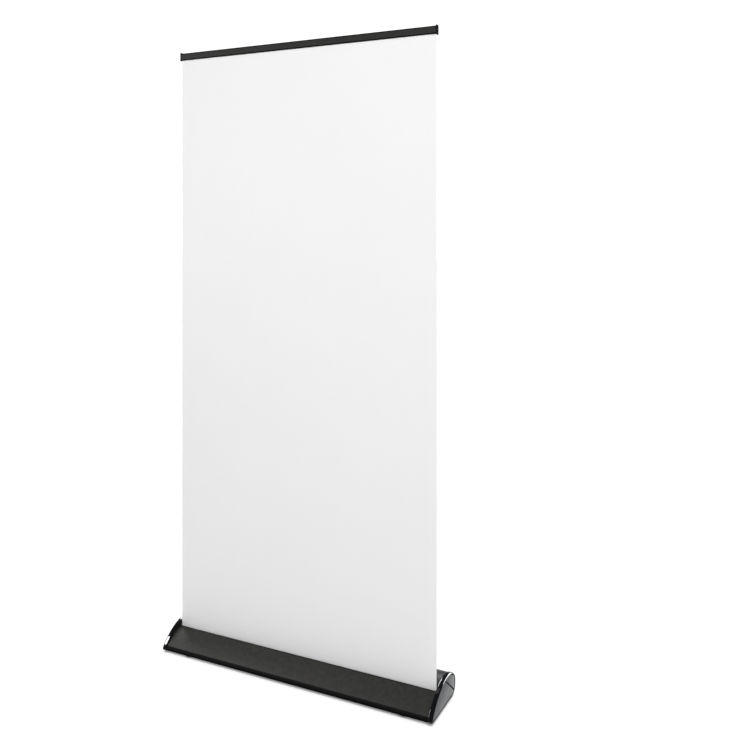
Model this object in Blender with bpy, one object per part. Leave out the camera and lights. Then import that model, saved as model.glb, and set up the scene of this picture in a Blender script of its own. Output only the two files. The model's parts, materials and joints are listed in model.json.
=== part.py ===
"""Roll-up banner stand with a wide teardrop base.

A spring roller in the base winds the film. The film leaves the base through a slot along the top,
its upper end is clamped in a snap rail, and a three-section bungee pole behind it holds the rail up.

Frame: metres, +Z up, the face of the film looks towards -Y, and the origin is under the middle of
the base on the floor. Outlines are given as (y, z) with y counted from the film's plane.
"""
import math

import bmesh
import bpy
from mathutils import Vector

# ---- driving dimensions -------------------------------------------------------------------------
FILM_WIDTH = 1.000
FILM_THICKNESS = 0.0004
RAIL_TOP = 2.140
RAIL_HEIGHT = 0.0257
BASE_FRONT = -0.0830          # toe of the end caps, in front of the film
BASE_REAR = 0.1155            # back of the end caps, behind the film
FILM_Y = -(BASE_FRONT + BASE_REAR) / 2
CAP_OUTER_X = 0.5200
SHELL_END_X = 0.5075
GAP = 0.0003                  # clearance between touching pieces
WALL = 0.0018                 # wall of the base extrusions
BASE_UNDERSIDE = 0.0055
SLOT_LIP = 0.0015             # radius of the rolled edges along the slot
EDGE = 0.0010                 # how far turned edges are cut back, and how far a cutter runs past a face
FLOOR_PLATE = 0.0030

# ---- end caps -----------------------------------------------------------------------------------
CAP_BOTTOM = 0.0030
CAP_TOE_RADIUS = 0.0080
CAP_CREST = (0.0470, 0.0875)
CAP_REAR_Z = 0.0420
CAP_HEEL = (0.0940, CAP_BOTTOM)
CAP_WALL = 0.0030
CAP_EDGE = 0.0025
CAP_INNER_X = SHELL_END_X + GAP
END_PLATE = 0.0030
END_PLATE_GAP = 0.0006

# ---- roller -------------------------------------------------------------------------------------
ROLLER_Y = -0.0185
ROLLER_Z = 0.0310
ROLLER_RADIUS = 0.0165
ROLLER_WALL = 0.0013
ROLLER_HALF = 0.5012
FILM_ROLL_RADIUS = 0.0180
PLUG_FLANGE = 0.0030
PLUG_DEPTH = 0.0300
AXLE_RADIUS = 0.0040
AXLE_HEAD_RADIUS = 0.0065
AXLE_HEAD = 0.0020
AXLE_REACH = 0.0400
SPRING_ROD_END_X = 0.1900
SPRING_START_X = 0.2200
SPRING_END_X = 0.4550
SPRING_TURNS = 16
SPRING_RADIUS = 0.0085
SPRING_WIRE = 0.0011
SPRING_ANCHOR = 0.0180

# ---- pole ---------------------------------------------------------------------------------------
POLE_LEAN = math.radians(1.0)
POLE_FOOT_Y = 0.0555
POLE_FOOT_Z = 0.0120
POLE_RADIUS = 0.0080
POLE_WALL = 0.0010
SECTION_START = 0.0100
SECTION_LENGTH = 0.6950
POLE_TOP = SECTION_START + 3 * SECTION_LENGTH + 2 * GAP
FERRULE_RADIUS = 0.0066
FERRULE_HOLD = 0.0400
FERRULE_REACH = 0.0500
FERRULE_TAPER = (0.0006, 0.0040)
BUNGEE_RADIUS = 0.0025
SOCKET_RADIUS = 0.0105
SOCKET_BORE = 0.0084
SOCKET_TOP = 0.0765
COLLAR_RADIUS = 0.0130
COLLAR_HEIGHT = 0.0040
COLLAR_EDGE = 0.0012
SOCKET_FLOOR = 0.0025
HEAD_HALF_WIDTH = 0.0100
HEAD_HALF_DEPTH = 0.0085
HEAD_TOP_Z = 2.1412
HEAD_STEM = 0.0250
HEAD_STEM_ROOT = 0.0040
HEAD_DOME_INSET = 0.0002
CORD_SHARE = 0.45            # how much of a section the cord reaches into on each side of a joint
FOOT_PLUG_TOP = 0.0300
TONGUE = (-0.0150, -0.0120)   # front and back of the head's tongue, from the pole's axis
TONGUE_TOP_Z = 2.1360
BRIDGE_TOP_Z = 2.1245

# ---- rail ---------------------------------------------------------------------------------------
RAIL_BOTTOM = RAIL_TOP - RAIL_HEIGHT
RAIL_HALF = FILM_WIDTH / 2 + 0.0005
RAIL_FRONT_Y = -0.0065
RAIL_SKIN = 0.0018
RAIL_BACK_Y = 0.0012
RAIL_CHANNEL_Y = (0.0032, 0.0072)
RAIL_REAR_Y = 0.0092
RAIL_LIP_Z = 2.1270
RAIL_FLANGE = 0.0025
JAW_REAR_Y = -0.0013
JAW_LIP_Y = -0.0008
JAW_LIP = 0.0022
JAW_EDGE = 0.0006
RAIL_CAP_FLARE = 0.0030
RAIL_CAP_WIDTH = 0.0025
RAIL_CAP_CORNER = 0.0030
RAIL_CAP_PROUD = (0.0012, 0.0006)   # how far the caps stand out in front of the rail and behind it
TOP_STRIP = (0.0004, 0.0160)        # thickness and height of the strip on the film's top edge
FILM_TOP_Z = RAIL_TOP - 0.0065
FILM_BOTTOM_Z = 0.0560

# ---- feet ---------------------------------------------------------------------------------------
FOOT_X = 0.4150
FOOT_YS = {"front": -0.0600, "rear": 0.0750}
FOOT_PAD_RADIUS = 0.0095
FOOT_PAD_HEIGHT = 0.0045
FOOT_SEAT = 0.0015
STUD_RADIUS = 0.0030
STUD_TOP = 0.0240
INSERT_RADIUS = 0.0060
INSERT_TOP = 0.0160

# ---- screws -------------------------------------------------------------------------------------
SCREW_POINTS = ((-0.0560, 0.0160), (0.0280, 0.0400), (0.0860, 0.0240))
SCREW_RADIUS = 0.0015
SCREW_HOLE = 0.0018
SCREW_HEAD_RADIUS = 0.0030
SCREW_HEAD = 0.0022
SCREW_LENGTH = 0.0160
RIB_HALF = 0.0035

ROUND = 24
SMALL_ROUND = 12
SHARP_ANGLE = math.radians(35)
SIDES = {"left": -1, "right": 1}


# ---- scene and finishes -------------------------------------------------------------------------
def clear_scene():
    """Remove every object that the file opened with."""
    for obj in list(bpy.data.objects):
        bpy.data.objects.remove(obj, do_unlink=True)


def finish(name, colour, roughness, metallic=0.0):
    """Return a plain Principled material."""
    mat = bpy.data.materials.new(name)
    mat.use_nodes = True
    shader = mat.node_tree.nodes["Principled BSDF"]
    shader.inputs["Base Color"].default_value = (*colour, 1.0)
    shader.inputs["Roughness"].default_value = roughness
    shader.inputs["Metallic"].default_value = metallic
    return mat


def make_finishes():
    """Return the finishes by name."""
    return {
        "panel": finish("matt charcoal coating", (0.045, 0.045, 0.043), 0.55, 0.3),
        "shell": finish("satin charcoal coating", (0.040, 0.041, 0.043), 0.38, 0.4),
        "gloss": finish("gloss black plastic", (0.010, 0.011, 0.013), 0.12),
        "plastic": finish("black plastic", (0.020, 0.020, 0.020), 0.45),
        "steel": finish("zinc plated steel", (0.55, 0.56, 0.58), 0.35, 1.0),
        "spring": finish("spring steel", (0.30, 0.30, 0.31), 0.40, 1.0),
        "alloy": finish("mill aluminium", (0.62, 0.63, 0.64), 0.42, 1.0),
        "film": finish("white banner film", (0.86, 0.86, 0.86), 0.60),
        "rubber": finish("black rubber", (0.018, 0.018, 0.018), 0.80),
        "bungee": finish("black bungee cord", (0.030, 0.030, 0.032), 0.85),
    }


# ---- geometry helpers ---------------------------------------------------------------------------
def curve(p0, p1, p2, p3, count=10):
    """Return points along a cubic curve, without its last point."""
    points = []
    for i in range(count):
        t = i / count
        a, b, c, d = (1 - t) ** 3, 3 * t * (1 - t) ** 2, 3 * t * t * (1 - t), t ** 3
        points.append((a * p0[0] + b * p1[0] + c * p2[0] + d * p3[0],
                       a * p0[1] + b * p1[1] + c * p2[1] + d * p3[1]))
    return points


def arc(centre, radius, start, end, count=5):
    """Return points on a circle from one angle in degrees to another, both ends included."""
    points = []
    for i in range(count + 1):
        a = math.radians(start + (end - start) * i / count)
        points.append((centre[0] + radius * math.cos(a), centre[1] + radius * math.sin(a)))
    return points


def normals(points, closed):
    """Return the left-hand unit normal at each point of a path."""
    result = []
    count = len(points)
    for i in range(count):
        before = points[i - 1] if closed or i > 0 else points[i]
        after = points[(i + 1) % count] if closed or i < count - 1 else points[i]
        d = Vector((after[0] - before[0], after[1] - before[1])).normalized()
        result.append((-d.y, d.x))
    return result


def offset(points, distance, closed=True):
    """Return a path moved to its left by a distance."""
    return [(p[0] + n[0] * distance, p[1] + n[1] * distance)
            for p, n in zip(points, normals(points, closed))]


def sheet_outline(path, thickness):
    """Return the closed outline of a bent sheet whose right-hand face follows a path."""
    return path + list(reversed(offset(path, thickness, closed=False)))


def loft(rings):
    """Return a closed mesh through rings of points that correspond one to one."""
    bm = bmesh.new()
    loops = [[bm.verts.new(p) for p in ring] for ring in rings]
    count = len(rings[0])
    for low, high in zip(loops, loops[1:]):
        for i in range(count):
            j = (i + 1) % count
            bm.faces.new((low[i], low[j], high[j], high[i]))
    bm.faces.new(list(reversed(loops[0])))
    bm.faces.new(loops[-1])
    bmesh.ops.recalc_face_normals(bm, faces=bm.faces)
    return bm


def prism_x(outline, x0, x1):
    """Return an outline in (y, z) extruded along X."""
    return loft([[(x, y, z) for y, z in outline] for x in (x0, x1)])


def turned(profile, segments=ROUND, hollow=False):
    """Return a profile of (radius, height) turned about Z; a hollow profile is a closed loop."""
    bm = bmesh.new()
    rings = []
    for radius, height in profile:
        angles = [2 * math.pi * i / segments for i in range(segments)]
        rings.append([bm.verts.new((radius * math.cos(a), radius * math.sin(a), height))
                      for a in angles])
    pairs = list(zip(rings, rings[1:]))
    if hollow:
        pairs.append((rings[-1], rings[0]))
    for low, high in pairs:
        for i in range(segments):
            j = (i + 1) % segments
            bm.faces.new((low[i], low[j], high[j], high[i]))
    if not hollow:
        bm.faces.new(list(reversed(rings[0])))
        bm.faces.new(rings[-1])
    bmesh.ops.recalc_face_normals(bm, faces=bm.faces)
    return bm


def tube(outer, inner, low, high, segments=ROUND):
    """Return a straight tube along Z."""
    return turned([(outer, low), (outer, high), (inner, high), (inner, low)], segments, hollow=True)


def place(name, bm, material, location=(0, 0, 0), rotation=(0, 0, 0), parent=None):
    """Make an object from a mesh, shade its round stretches smooth and put it in place."""
    mesh = bpy.data.meshes.new(name)
    bm.to_mesh(mesh)
    bm.free()
    mesh.materials.append(material)
    mesh.shade_smooth()
    mesh.set_sharp_from_angle(angle=SHARP_ANGLE)
    obj = bpy.data.objects.new(name, mesh)
    bpy.context.scene.collection.objects.link(obj)
    obj.location = location
    obj.rotation_euler = rotation
    obj.parent = parent
    return obj


def combine(obj, other, operation="DIFFERENCE"):
    """Cut, join or intersect an object with a helper that isn't a part itself."""
    other.hide_render = True
    other.display_type = "WIRE"
    step = obj.modifiers.new(f"{operation.lower()} {other.name}", "BOOLEAN")
    step.operation = operation
    step.solver = "EXACT"
    step.object = other


def pin_cutter(name, radius, x0, x1, y, z, segments=SMALL_ROUND):
    """Return a round cutter along X through a point of the base's outline."""
    bm = turned([(radius, x0), (radius, x1)], segments)
    return place(name, bm, FINISHES["steel"], (0, FILM_Y + y, z), (0, math.pi / 2, 0))


def along_x(name, bm, material, y, z):
    """Place a piece turned about Z so that its axis lies along X."""
    return place(name, bm, material, (0, FILM_Y + y, z), (0, math.pi / 2, 0))


def mirrored(profile, side):
    """Return a profile of (radius, x) on the right side or mirrored to the left."""
    return [(radius, side * x) for radius, x in profile]


# ---- base outlines ------------------------------------------------------------------------------
def cap_outline():
    """Return the teardrop outline of an end cap, clockwise from the toe as seen from +X."""
    toe = (BASE_FRONT + CAP_TOE_RADIUS, CAP_BOTTOM + CAP_TOE_RADIUS)
    points = arc(toe, CAP_TOE_RADIUS, 270, 180)[:-1]
    points += curve((BASE_FRONT, toe[1]), (-0.0720, 0.0360), (-0.0220, CAP_CREST[1]), CAP_CREST, 14)
    rear = (BASE_REAR, CAP_REAR_Z)
    points += curve(CAP_CREST, (0.0850, CAP_CREST[1]), (BASE_REAR, 0.0680), rear)
    points += curve(rear, (BASE_REAR, 0.0220), (0.1090, CAP_BOTTOM), CAP_HEEL, 8)
    return points + [CAP_HEEL]


def front_panel_path():
    """Return the outer face of the front panel, from under the toe up to the slot."""
    lip_radius = 0.0040
    toe = (-0.0765, BASE_UNDERSIDE + lip_radius)
    path = [(-0.0670, BASE_UNDERSIDE)]
    path += arc(toe, lip_radius, 270, 180, 4)
    path += curve((-0.0802, 0.0130), (-0.0660, 0.0340), (-0.0350, 0.0510), (-0.0045, 0.0605), 12)
    path += arc((-0.0052, 0.0590), SLOT_LIP, 70, 0, 3)
    return path + [(-0.0037, 0.0540)]


def rear_shell_path():
    """Return the outer face of the rear shell, from the slot over the crest to the underside."""
    path = [(0.0040, 0.0560)]
    path += arc((0.0055, 0.0612), SLOT_LIP, 180, 125, 3)
    crest = (0.0550, 0.0840)
    rear = (0.1125, CAP_REAR_Z)
    heel = (0.0925, BASE_UNDERSIDE)
    path += curve((0.0060, 0.0638), (0.0200, 0.0735), (0.0360, crest[1]), crest)
    path += curve(crest, (0.0870, crest[1]), (rear[0], 0.0660), rear)
    path += curve(rear, (rear[0], 0.0240), (0.1070, heel[1]), heel, 8)
    return path + [heel]


def floor_outline():
    """Return the base's floor with its screw ribs and hooked edges."""
    top = BASE_UNDERSIDE + FLOOR_PLATE
    outline = [(-0.0664, BASE_UNDERSIDE), (0.0918, BASE_UNDERSIDE), (0.0918, top)]
    for y, z in reversed(SCREW_POINTS):
        rib_top = z + RIB_HALF
        outline += [(y + RIB_HALF, top), (y + RIB_HALF, rib_top)]
        outline += [(y - RIB_HALF, rib_top), (y - RIB_HALF, top)]
    return outline + [(-0.0664, top)]


# ---- base ---------------------------------------------------------------------------------------
def build_base_floor():
    """Build the floor extrusion, its threaded inserts and their clearance holes."""
    floor = place("base_floor", prism_x(floor_outline(), -SHELL_END_X, SHELL_END_X), FINISHES["alloy"],
                  (0, FILM_Y, 0))
    for i, (y, z) in enumerate(SCREW_POINTS):
        for word, side in SIDES.items():
            x0, x1 = side * (SHELL_END_X - SCREW_LENGTH), side * (SHELL_END_X + EDGE)
            combine(floor, pin_cutter(f"port_{word}_{i}", SCREW_HOLE, x0, x1, y, z))
    for depth, y in FOOT_YS.items():
        for word, side in SIDES.items():
            spot = (side * FOOT_X, FILM_Y + y, 0)
            low = BASE_UNDERSIDE + FLOOR_PLATE + GAP
            seat = low - GAP / 2
            hole = turned([(STUD_RADIUS + 2 * GAP, 0.0), (STUD_RADIUS + 2 * GAP, seat),
                           (INSERT_RADIUS + GAP, seat), (INSERT_RADIUS + GAP, 2 * INSERT_TOP)])
            combine(floor, place(f"stud_hole_{depth}_{word}", hole, FINISHES["steel"], spot))
            insert = tube(INSERT_RADIUS, STUD_RADIUS + GAP, low, INSERT_TOP)
            place(f"foot_insert_{depth}_{word}", insert, FINISHES["steel"], spot)


def build_base_shells():
    """Build the front panel, the rear shell with its pole hole, and the slot's edging."""
    path = front_panel_path()
    place("front_panel", prism_x(sheet_outline(path, -WALL), -SHELL_END_X, SHELL_END_X),
          FINISHES["panel"], (0, FILM_Y, 0))
    shell = place("rear_shell", prism_x(sheet_outline(rear_shell_path(), -WALL), -SHELL_END_X,
                                        SHELL_END_X), FINISHES["shell"], (0, FILM_Y, 0))
    radius = SOCKET_RADIUS + GAP
    hole = turned([(radius, SOCKET_TOP - 0.030), (radius, SOCKET_TOP + 0.030)])
    combine(shell, on_pole("pole_hole", hole, FINISHES["steel"]))
    edging = [(-0.0034, 0.0545), (-0.0020, 0.0545), (-0.0020, 0.0618), (-0.0034, 0.0618)]
    place("slot_edging", prism_x(edging, -SHELL_END_X, SHELL_END_X), FINISHES["plastic"],
          (0, FILM_Y, 0))


def build_end(word, side):
    """Build one end of the base: structural plate, screws and the moulded cap over them."""
    outline = cap_outline()
    inner = offset(outline, -(CAP_WALL + END_PLATE_GAP))
    x0 = side * CAP_INNER_X
    x1 = side * (CAP_INNER_X + END_PLATE)
    plate = place(f"end_plate_{word}", prism_x(inner, x0, x1), FINISHES["steel"], (0, FILM_Y, 0))
    reach = (side * (CAP_INNER_X - EDGE), side * (CAP_INNER_X + END_PLATE + EDGE))
    for i, (y, z) in enumerate(SCREW_POINTS):
        combine(plate, pin_cutter(f"plate_hole_{word}_{i}", SCREW_HOLE, *reach, y, z))
        head = CAP_INNER_X + END_PLATE + GAP
        profile = [(SCREW_RADIUS, head - SCREW_LENGTH), (SCREW_RADIUS, head),
                   (SCREW_HEAD_RADIUS, head), (SCREW_HEAD_RADIUS, head + SCREW_HEAD / 2),
                   (SCREW_HEAD_RADIUS / 2, head + SCREW_HEAD)]
        along_x(f"end_screw_{word}_{i + 1}", turned(mirrored(profile, side), SMALL_ROUND),
                FINISHES["steel"], y, z)
    combine(plate, pin_cutter(f"axle_hole_{word}", AXLE_RADIUS + GAP, *reach, ROLLER_Y, ROLLER_Z, ROUND))
    pocket = offset(outline, -CAP_WALL)
    edge = offset(outline, -CAP_EDGE)
    stations = ((CAP_INNER_X, outline), (CAP_OUTER_X - CAP_EDGE, outline), (CAP_OUTER_X, edge))
    shell = loft([[(side * x, y, z) for y, z in ring] for x, ring in stations])
    cap = place(f"end_cap_{word}", shell, FINISHES["gloss"], (0, FILM_Y, 0))
    hollow = prism_x(pocket, side * (CAP_INNER_X - EDGE), side * (CAP_OUTER_X - CAP_WALL))
    combine(cap, place(f"cap_hollow_{word}", hollow, FINISHES["gloss"], (0, FILM_Y, 0)))


def build_base():
    """Build every fixed piece of the base."""
    build_base_floor()
    build_base_shells()
    for word, side in SIDES.items():
        build_end(word, side)
    profile = [(SOCKET_RADIUS, -SOCKET_FLOOR), (SOCKET_RADIUS, SOCKET_TOP - COLLAR_HEIGHT),
               (COLLAR_RADIUS, SOCKET_TOP - COLLAR_HEIGHT), (COLLAR_RADIUS, SOCKET_TOP - COLLAR_EDGE),
               (COLLAR_RADIUS - COLLAR_EDGE, SOCKET_TOP), (SOCKET_BORE, SOCKET_TOP), (SOCKET_BORE, -GAP)]
    on_pole("pole_socket", turned(profile), FINISHES["plastic"])


# ---- roller -------------------------------------------------------------------------------------
def build_roller():
    """Build the roller, what turns with it, and the axle, rod and spring that don't."""
    y, z = ROLLER_Y, ROLLER_Z
    body = tube(ROLLER_RADIUS, ROLLER_RADIUS - ROLLER_WALL, -ROLLER_HALF, ROLLER_HALF)
    along_x("roller_tube", body, FINISHES["alloy"], y, z)
    wound = tube(FILM_ROLL_RADIUS, ROLLER_RADIUS + GAP, -FILM_WIDTH / 2, FILM_WIDTH / 2)
    along_x("film_roll", wound, FINISHES["film"], y, z)
    plug_radius = ROLLER_RADIUS - ROLLER_WALL - GAP
    bore = AXLE_RADIUS + GAP
    face = ROLLER_HALF + GAP
    head = CAP_INNER_X + END_PLATE + GAP
    for word, side in SIDES.items():
        profile = [(plug_radius, face - PLUG_DEPTH), (plug_radius, face), (ROLLER_RADIUS, face),
                   (ROLLER_RADIUS, face + PLUG_FLANGE), (bore, face + PLUG_FLANGE),
                   (bore, face - PLUG_DEPTH)]
        plug = turned(mirrored(profile, side), hollow=True)
        along_x(f"roller_plug_{word}", plug, FINISHES["plastic"], y, z)
        inner_end = SPRING_ROD_END_X if word == "right" else head - AXLE_REACH
        profile = [(AXLE_RADIUS, inner_end), (AXLE_RADIUS, head), (AXLE_HEAD_RADIUS, head),
                   (AXLE_HEAD_RADIUS, head + AXLE_HEAD)]
        name = "spring_rod" if word == "right" else "axle_pin"
        along_x(name, turned(mirrored(profile, side)), FINISHES["steel"], y, z)
    low, high = SPRING_ROD_END_X, SPRING_ROD_END_X + SPRING_ANCHOR
    anchor = [(plug_radius, low), (plug_radius, high), (bore, high), (bore, low)]
    along_x("spring_anchor", turned(anchor, hollow=True), FINISHES["plastic"], y, z)
    along_x("torsion_spring", coil(), FINISHES["spring"], y, z)


def coil():
    """Return the wound spring as a thin closed tube along a helix about Z."""
    steps = SPRING_TURNS * 10
    sides = 5
    rise = SPRING_END_X - SPRING_START_X
    rings = []
    for i in range(steps + 1):
        a = 2 * math.pi * SPRING_TURNS * i / steps
        outward = Vector((math.cos(a), math.sin(a), 0))
        centre = outward * SPRING_RADIUS + Vector((0, 0, SPRING_START_X + rise * i / steps))
        ring = []
        for k in range(sides):
            b = 2 * math.pi * k / sides
            round_wire = outward * math.cos(b) + Vector((0, 0, math.sin(b)))
            ring.append(centre + round_wire * SPRING_WIRE)
        rings.append(ring)
    return loft(rings)


# ---- pole ---------------------------------------------------------------------------------------
def on_pole(name, bm, material):
    """Place a piece whose mesh is given along the leaning pole, with its foot at zero."""
    return place(name, bm, material, parent=POLE_AXIS)


def along_pole(z):
    """Return the distance up the pole's axis of a height above the floor."""
    return (z - POLE_FOOT_Z) / math.cos(POLE_LEAN)


def build_pole():
    """Build the three sections with their ferrules, the cord inside, the foot plug and the head."""
    bore = POLE_RADIUS - POLE_WALL
    starts = []
    for i, word in enumerate(("lower", "middle", "upper")):
        start = SECTION_START + i * (SECTION_LENGTH + GAP)
        starts.append(start)
        on_pole(f"pole_{word}", tube(POLE_RADIUS, bore, start, start + SECTION_LENGTH), FINISHES["shell"])
    for word, start in zip(("lower", "upper"), starts[1:]):
        ferrule_bore = FERRULE_RADIUS - POLE_WALL
        low, high = start - FERRULE_HOLD, start + FERRULE_REACH
        taper, length = FERRULE_TAPER
        profile = [(FERRULE_RADIUS, low), (FERRULE_RADIUS, high - length),
                   (FERRULE_RADIUS - taper, high), (ferrule_bore, high), (ferrule_bore, low)]
        on_pole(f"pole_ferrule_{word}", turned(profile, hollow=True), FINISHES["alloy"])
        reach = SECTION_LENGTH * CORD_SHARE
        cord = turned([(BUNGEE_RADIUS, start - reach), (BUNGEE_RADIUS, start + reach)], SMALL_ROUND)
        on_pole(f"bungee_{word}", cord, FINISHES["bungee"])
    spigot = bore - GAP
    foot = turned([(POLE_RADIUS - EDGE, 0.0), (POLE_RADIUS, EDGE), (POLE_RADIUS, SECTION_START - GAP),
                   (spigot, SECTION_START - GAP), (spigot, FOOT_PLUG_TOP)])
    on_pole("pole_foot_plug", foot, FINISHES["plastic"])
    build_pole_head(spigot)


def build_pole_head(spigot):
    """Build the moulded head: a round-topped block, a bridge and the tongue that holds the rail."""
    low = POLE_TOP + GAP
    front, back = -HEAD_HALF_DEPTH, HEAD_HALF_DEPTH
    top = along_pole(HEAD_TOP_Z)
    bridge = along_pole(RAIL_BOTTOM + EDGE), along_pole(BRIDGE_TOP_Z)
    side_view = [(back, low), (back, top), (front, top), (front, bridge[1]), (TONGUE[1], bridge[1]),
                 (TONGUE[1], along_pole(TONGUE_TOP_Z)), (TONGUE[0], along_pole(TONGUE_TOP_Z)),
                 (TONGUE[0], bridge[0]), (front, bridge[0]), (front, low)]
    head = on_pole("pole_head", prism_x(side_view, -HEAD_HALF_WIDTH, HEAD_HALF_WIDTH), FINISHES["plastic"])
    dome_radius = HEAD_HALF_WIDTH - HEAD_DOME_INSET
    rear_view = [(-dome_radius, low - EDGE), (dome_radius, low - EDGE)]
    rear_view += arc((0, top - HEAD_HALF_WIDTH), dome_radius, 0, 180, 12)
    reach = 0.030
    dome = loft([[(x, y, z) for x, z in rear_view] for y in (-reach, reach)])
    combine(head, on_pole("head_dome", dome, FINISHES["plastic"]), "INTERSECT")
    stem = turned([(spigot, low - HEAD_STEM), (spigot, low + HEAD_STEM_ROOT)])
    combine(head, on_pole("head_stem", stem, FINISHES["plastic"]), "UNION")


# ---- rail and film ------------------------------------------------------------------------------
def build_rail():
    """Build the rail's fixed back, its front jaw, the end caps, and the strip on the film's edge."""
    low, top = RAIL_BOTTOM, RAIL_TOP
    flange = top - RAIL_FLANGE
    near, far = RAIL_CHANNEL_Y
    back = [(RAIL_BACK_Y, low), (near, low), (near, flange), (far, flange), (far, RAIL_LIP_Z),
            (RAIL_REAR_Y, RAIL_LIP_Z), (RAIL_REAR_Y, top), (JAW_REAR_Y + GAP, top),
            (JAW_REAR_Y + GAP, top - JAW_LIP), (RAIL_BACK_Y, top - JAW_LIP)]
    place("rail_back", prism_x(back, -RAIL_HALF, RAIL_HALF), FINISHES["panel"], (0, FILM_Y, 0))
    skin = RAIL_FRONT_Y + RAIL_SKIN
    jaw = [(RAIL_FRONT_Y, low + JAW_EDGE), (RAIL_FRONT_Y + JAW_EDGE, low), (JAW_LIP_Y, low),
           (JAW_LIP_Y, low + JAW_LIP), (skin, low + JAW_LIP), (skin, top - RAIL_SKIN),
           (JAW_REAR_Y, top - RAIL_SKIN), (JAW_REAR_Y, top), (RAIL_FRONT_Y + JAW_EDGE, top),
           (RAIL_FRONT_Y, top - JAW_EDGE)]
    place("rail_jaw", prism_x(jaw, -RAIL_HALF, RAIL_HALF), FINISHES["panel"], (0, FILM_Y, 0))
    corner = RAIL_CAP_CORNER
    y0, y1 = RAIL_FRONT_Y - RAIL_CAP_PROUD[0], RAIL_REAR_Y + RAIL_CAP_PROUD[1]
    z0, z1 = low - RAIL_CAP_FLARE, top + RAIL_CAP_FLARE
    outline = arc((y0 + corner, z0 + corner), corner, 180, 270)
    outline += arc((y1 - corner, z0 + corner), corner, 270, 360)
    outline += arc((y1 - corner, z1 - corner), corner, 0, 90)
    outline += arc((y0 + corner, z1 - corner), corner, 90, 180)
    for word, side in SIDES.items():
        x0 = side * (RAIL_HALF + GAP)
        x1 = side * (RAIL_HALF + GAP + RAIL_CAP_WIDTH)
        place(f"rail_cap_{word}", prism_x(outline, x0, x1), FINISHES["gloss"], (0, FILM_Y, 0))
    half = FILM_THICKNESS / 2
    near, far = half + GAP, half + GAP + TOP_STRIP[0]
    strip = [(near, FILM_TOP_Z - TOP_STRIP[1]), (far, FILM_TOP_Z - TOP_STRIP[1]),
             (far, FILM_TOP_Z), (near, FILM_TOP_Z)]
    place("banner_top_strip", prism_x(strip, -FILM_WIDTH / 2, FILM_WIDTH / 2), FINISHES["plastic"],
          (0, FILM_Y, 0))


def build_film():
    """Build the film above the slot and the leader that joins it to the roll inside the base."""
    half = FILM_THICKNESS / 2
    spans = {"banner_film": (FILM_BOTTOM_Z, FILM_TOP_Z), "film_leader": (ROLLER_Z, FILM_BOTTOM_Z - GAP)}
    for name, (low, high) in spans.items():
        outline = [(-half, low), (half, low), (half, high), (-half, high)]
        place(name, prism_x(outline, -FILM_WIDTH / 2, FILM_WIDTH / 2), FINISHES["film"], (0, FILM_Y, 0))


# ---- feet ---------------------------------------------------------------------------------------
def build_feet():
    """Build the four levelling feet, each a rubber pad on its own threaded stud."""
    seat = FOOT_PAD_HEIGHT - FOOT_SEAT
    pad_profile = [(FOOT_PAD_RADIUS - EDGE, 0.0), (FOOT_PAD_RADIUS, EDGE),
                   (FOOT_PAD_RADIUS, FOOT_PAD_HEIGHT), (STUD_RADIUS + GAP, FOOT_PAD_HEIGHT),
                   (STUD_RADIUS + GAP, seat)]
    for depth, y in FOOT_YS.items():
        for word, side in SIDES.items():
            spot = (side * FOOT_X, FILM_Y + y, 0)
            place(f"foot_pad_{depth}_{word}", turned(pad_profile), FINISHES["rubber"], spot)
            stud = turned([(STUD_RADIUS, seat + GAP), (STUD_RADIUS, STUD_TOP - EDGE),
                           (STUD_RADIUS - EDGE, STUD_TOP)], SMALL_ROUND)
            place(f"foot_stud_{depth}_{word}", stud, FINISHES["steel"], spot)


clear_scene()
FINISHES = make_finishes()
POLE_AXIS = bpy.data.objects.new("pole_axis", None)
bpy.context.scene.collection.objects.link(POLE_AXIS)
POLE_AXIS.location = (0, FILM_Y + POLE_FOOT_Y, POLE_FOOT_Z)
POLE_AXIS.rotation_euler = (POLE_LEAN, 0, 0)
build_base()
build_roller()
build_pole()
build_rail()
build_film()
build_feet()
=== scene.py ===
"""Roll-up banner stand: the visual model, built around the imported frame.

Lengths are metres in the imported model's frame: +Z up, the face of the film looks towards -Y, and the
origin is on the floor under the middle of the base. Outlines are (y, z) points with y counted from the
film's plane, so one figure says how far in front of the film or behind it a point lies.
"""
from __future__ import annotations

import json
import logging
import math
from dataclasses import dataclass, field
from enum import Enum
from typing import Callable, Sequence

import bmesh
import bpy
from mathutils import Matrix, Vector


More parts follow.
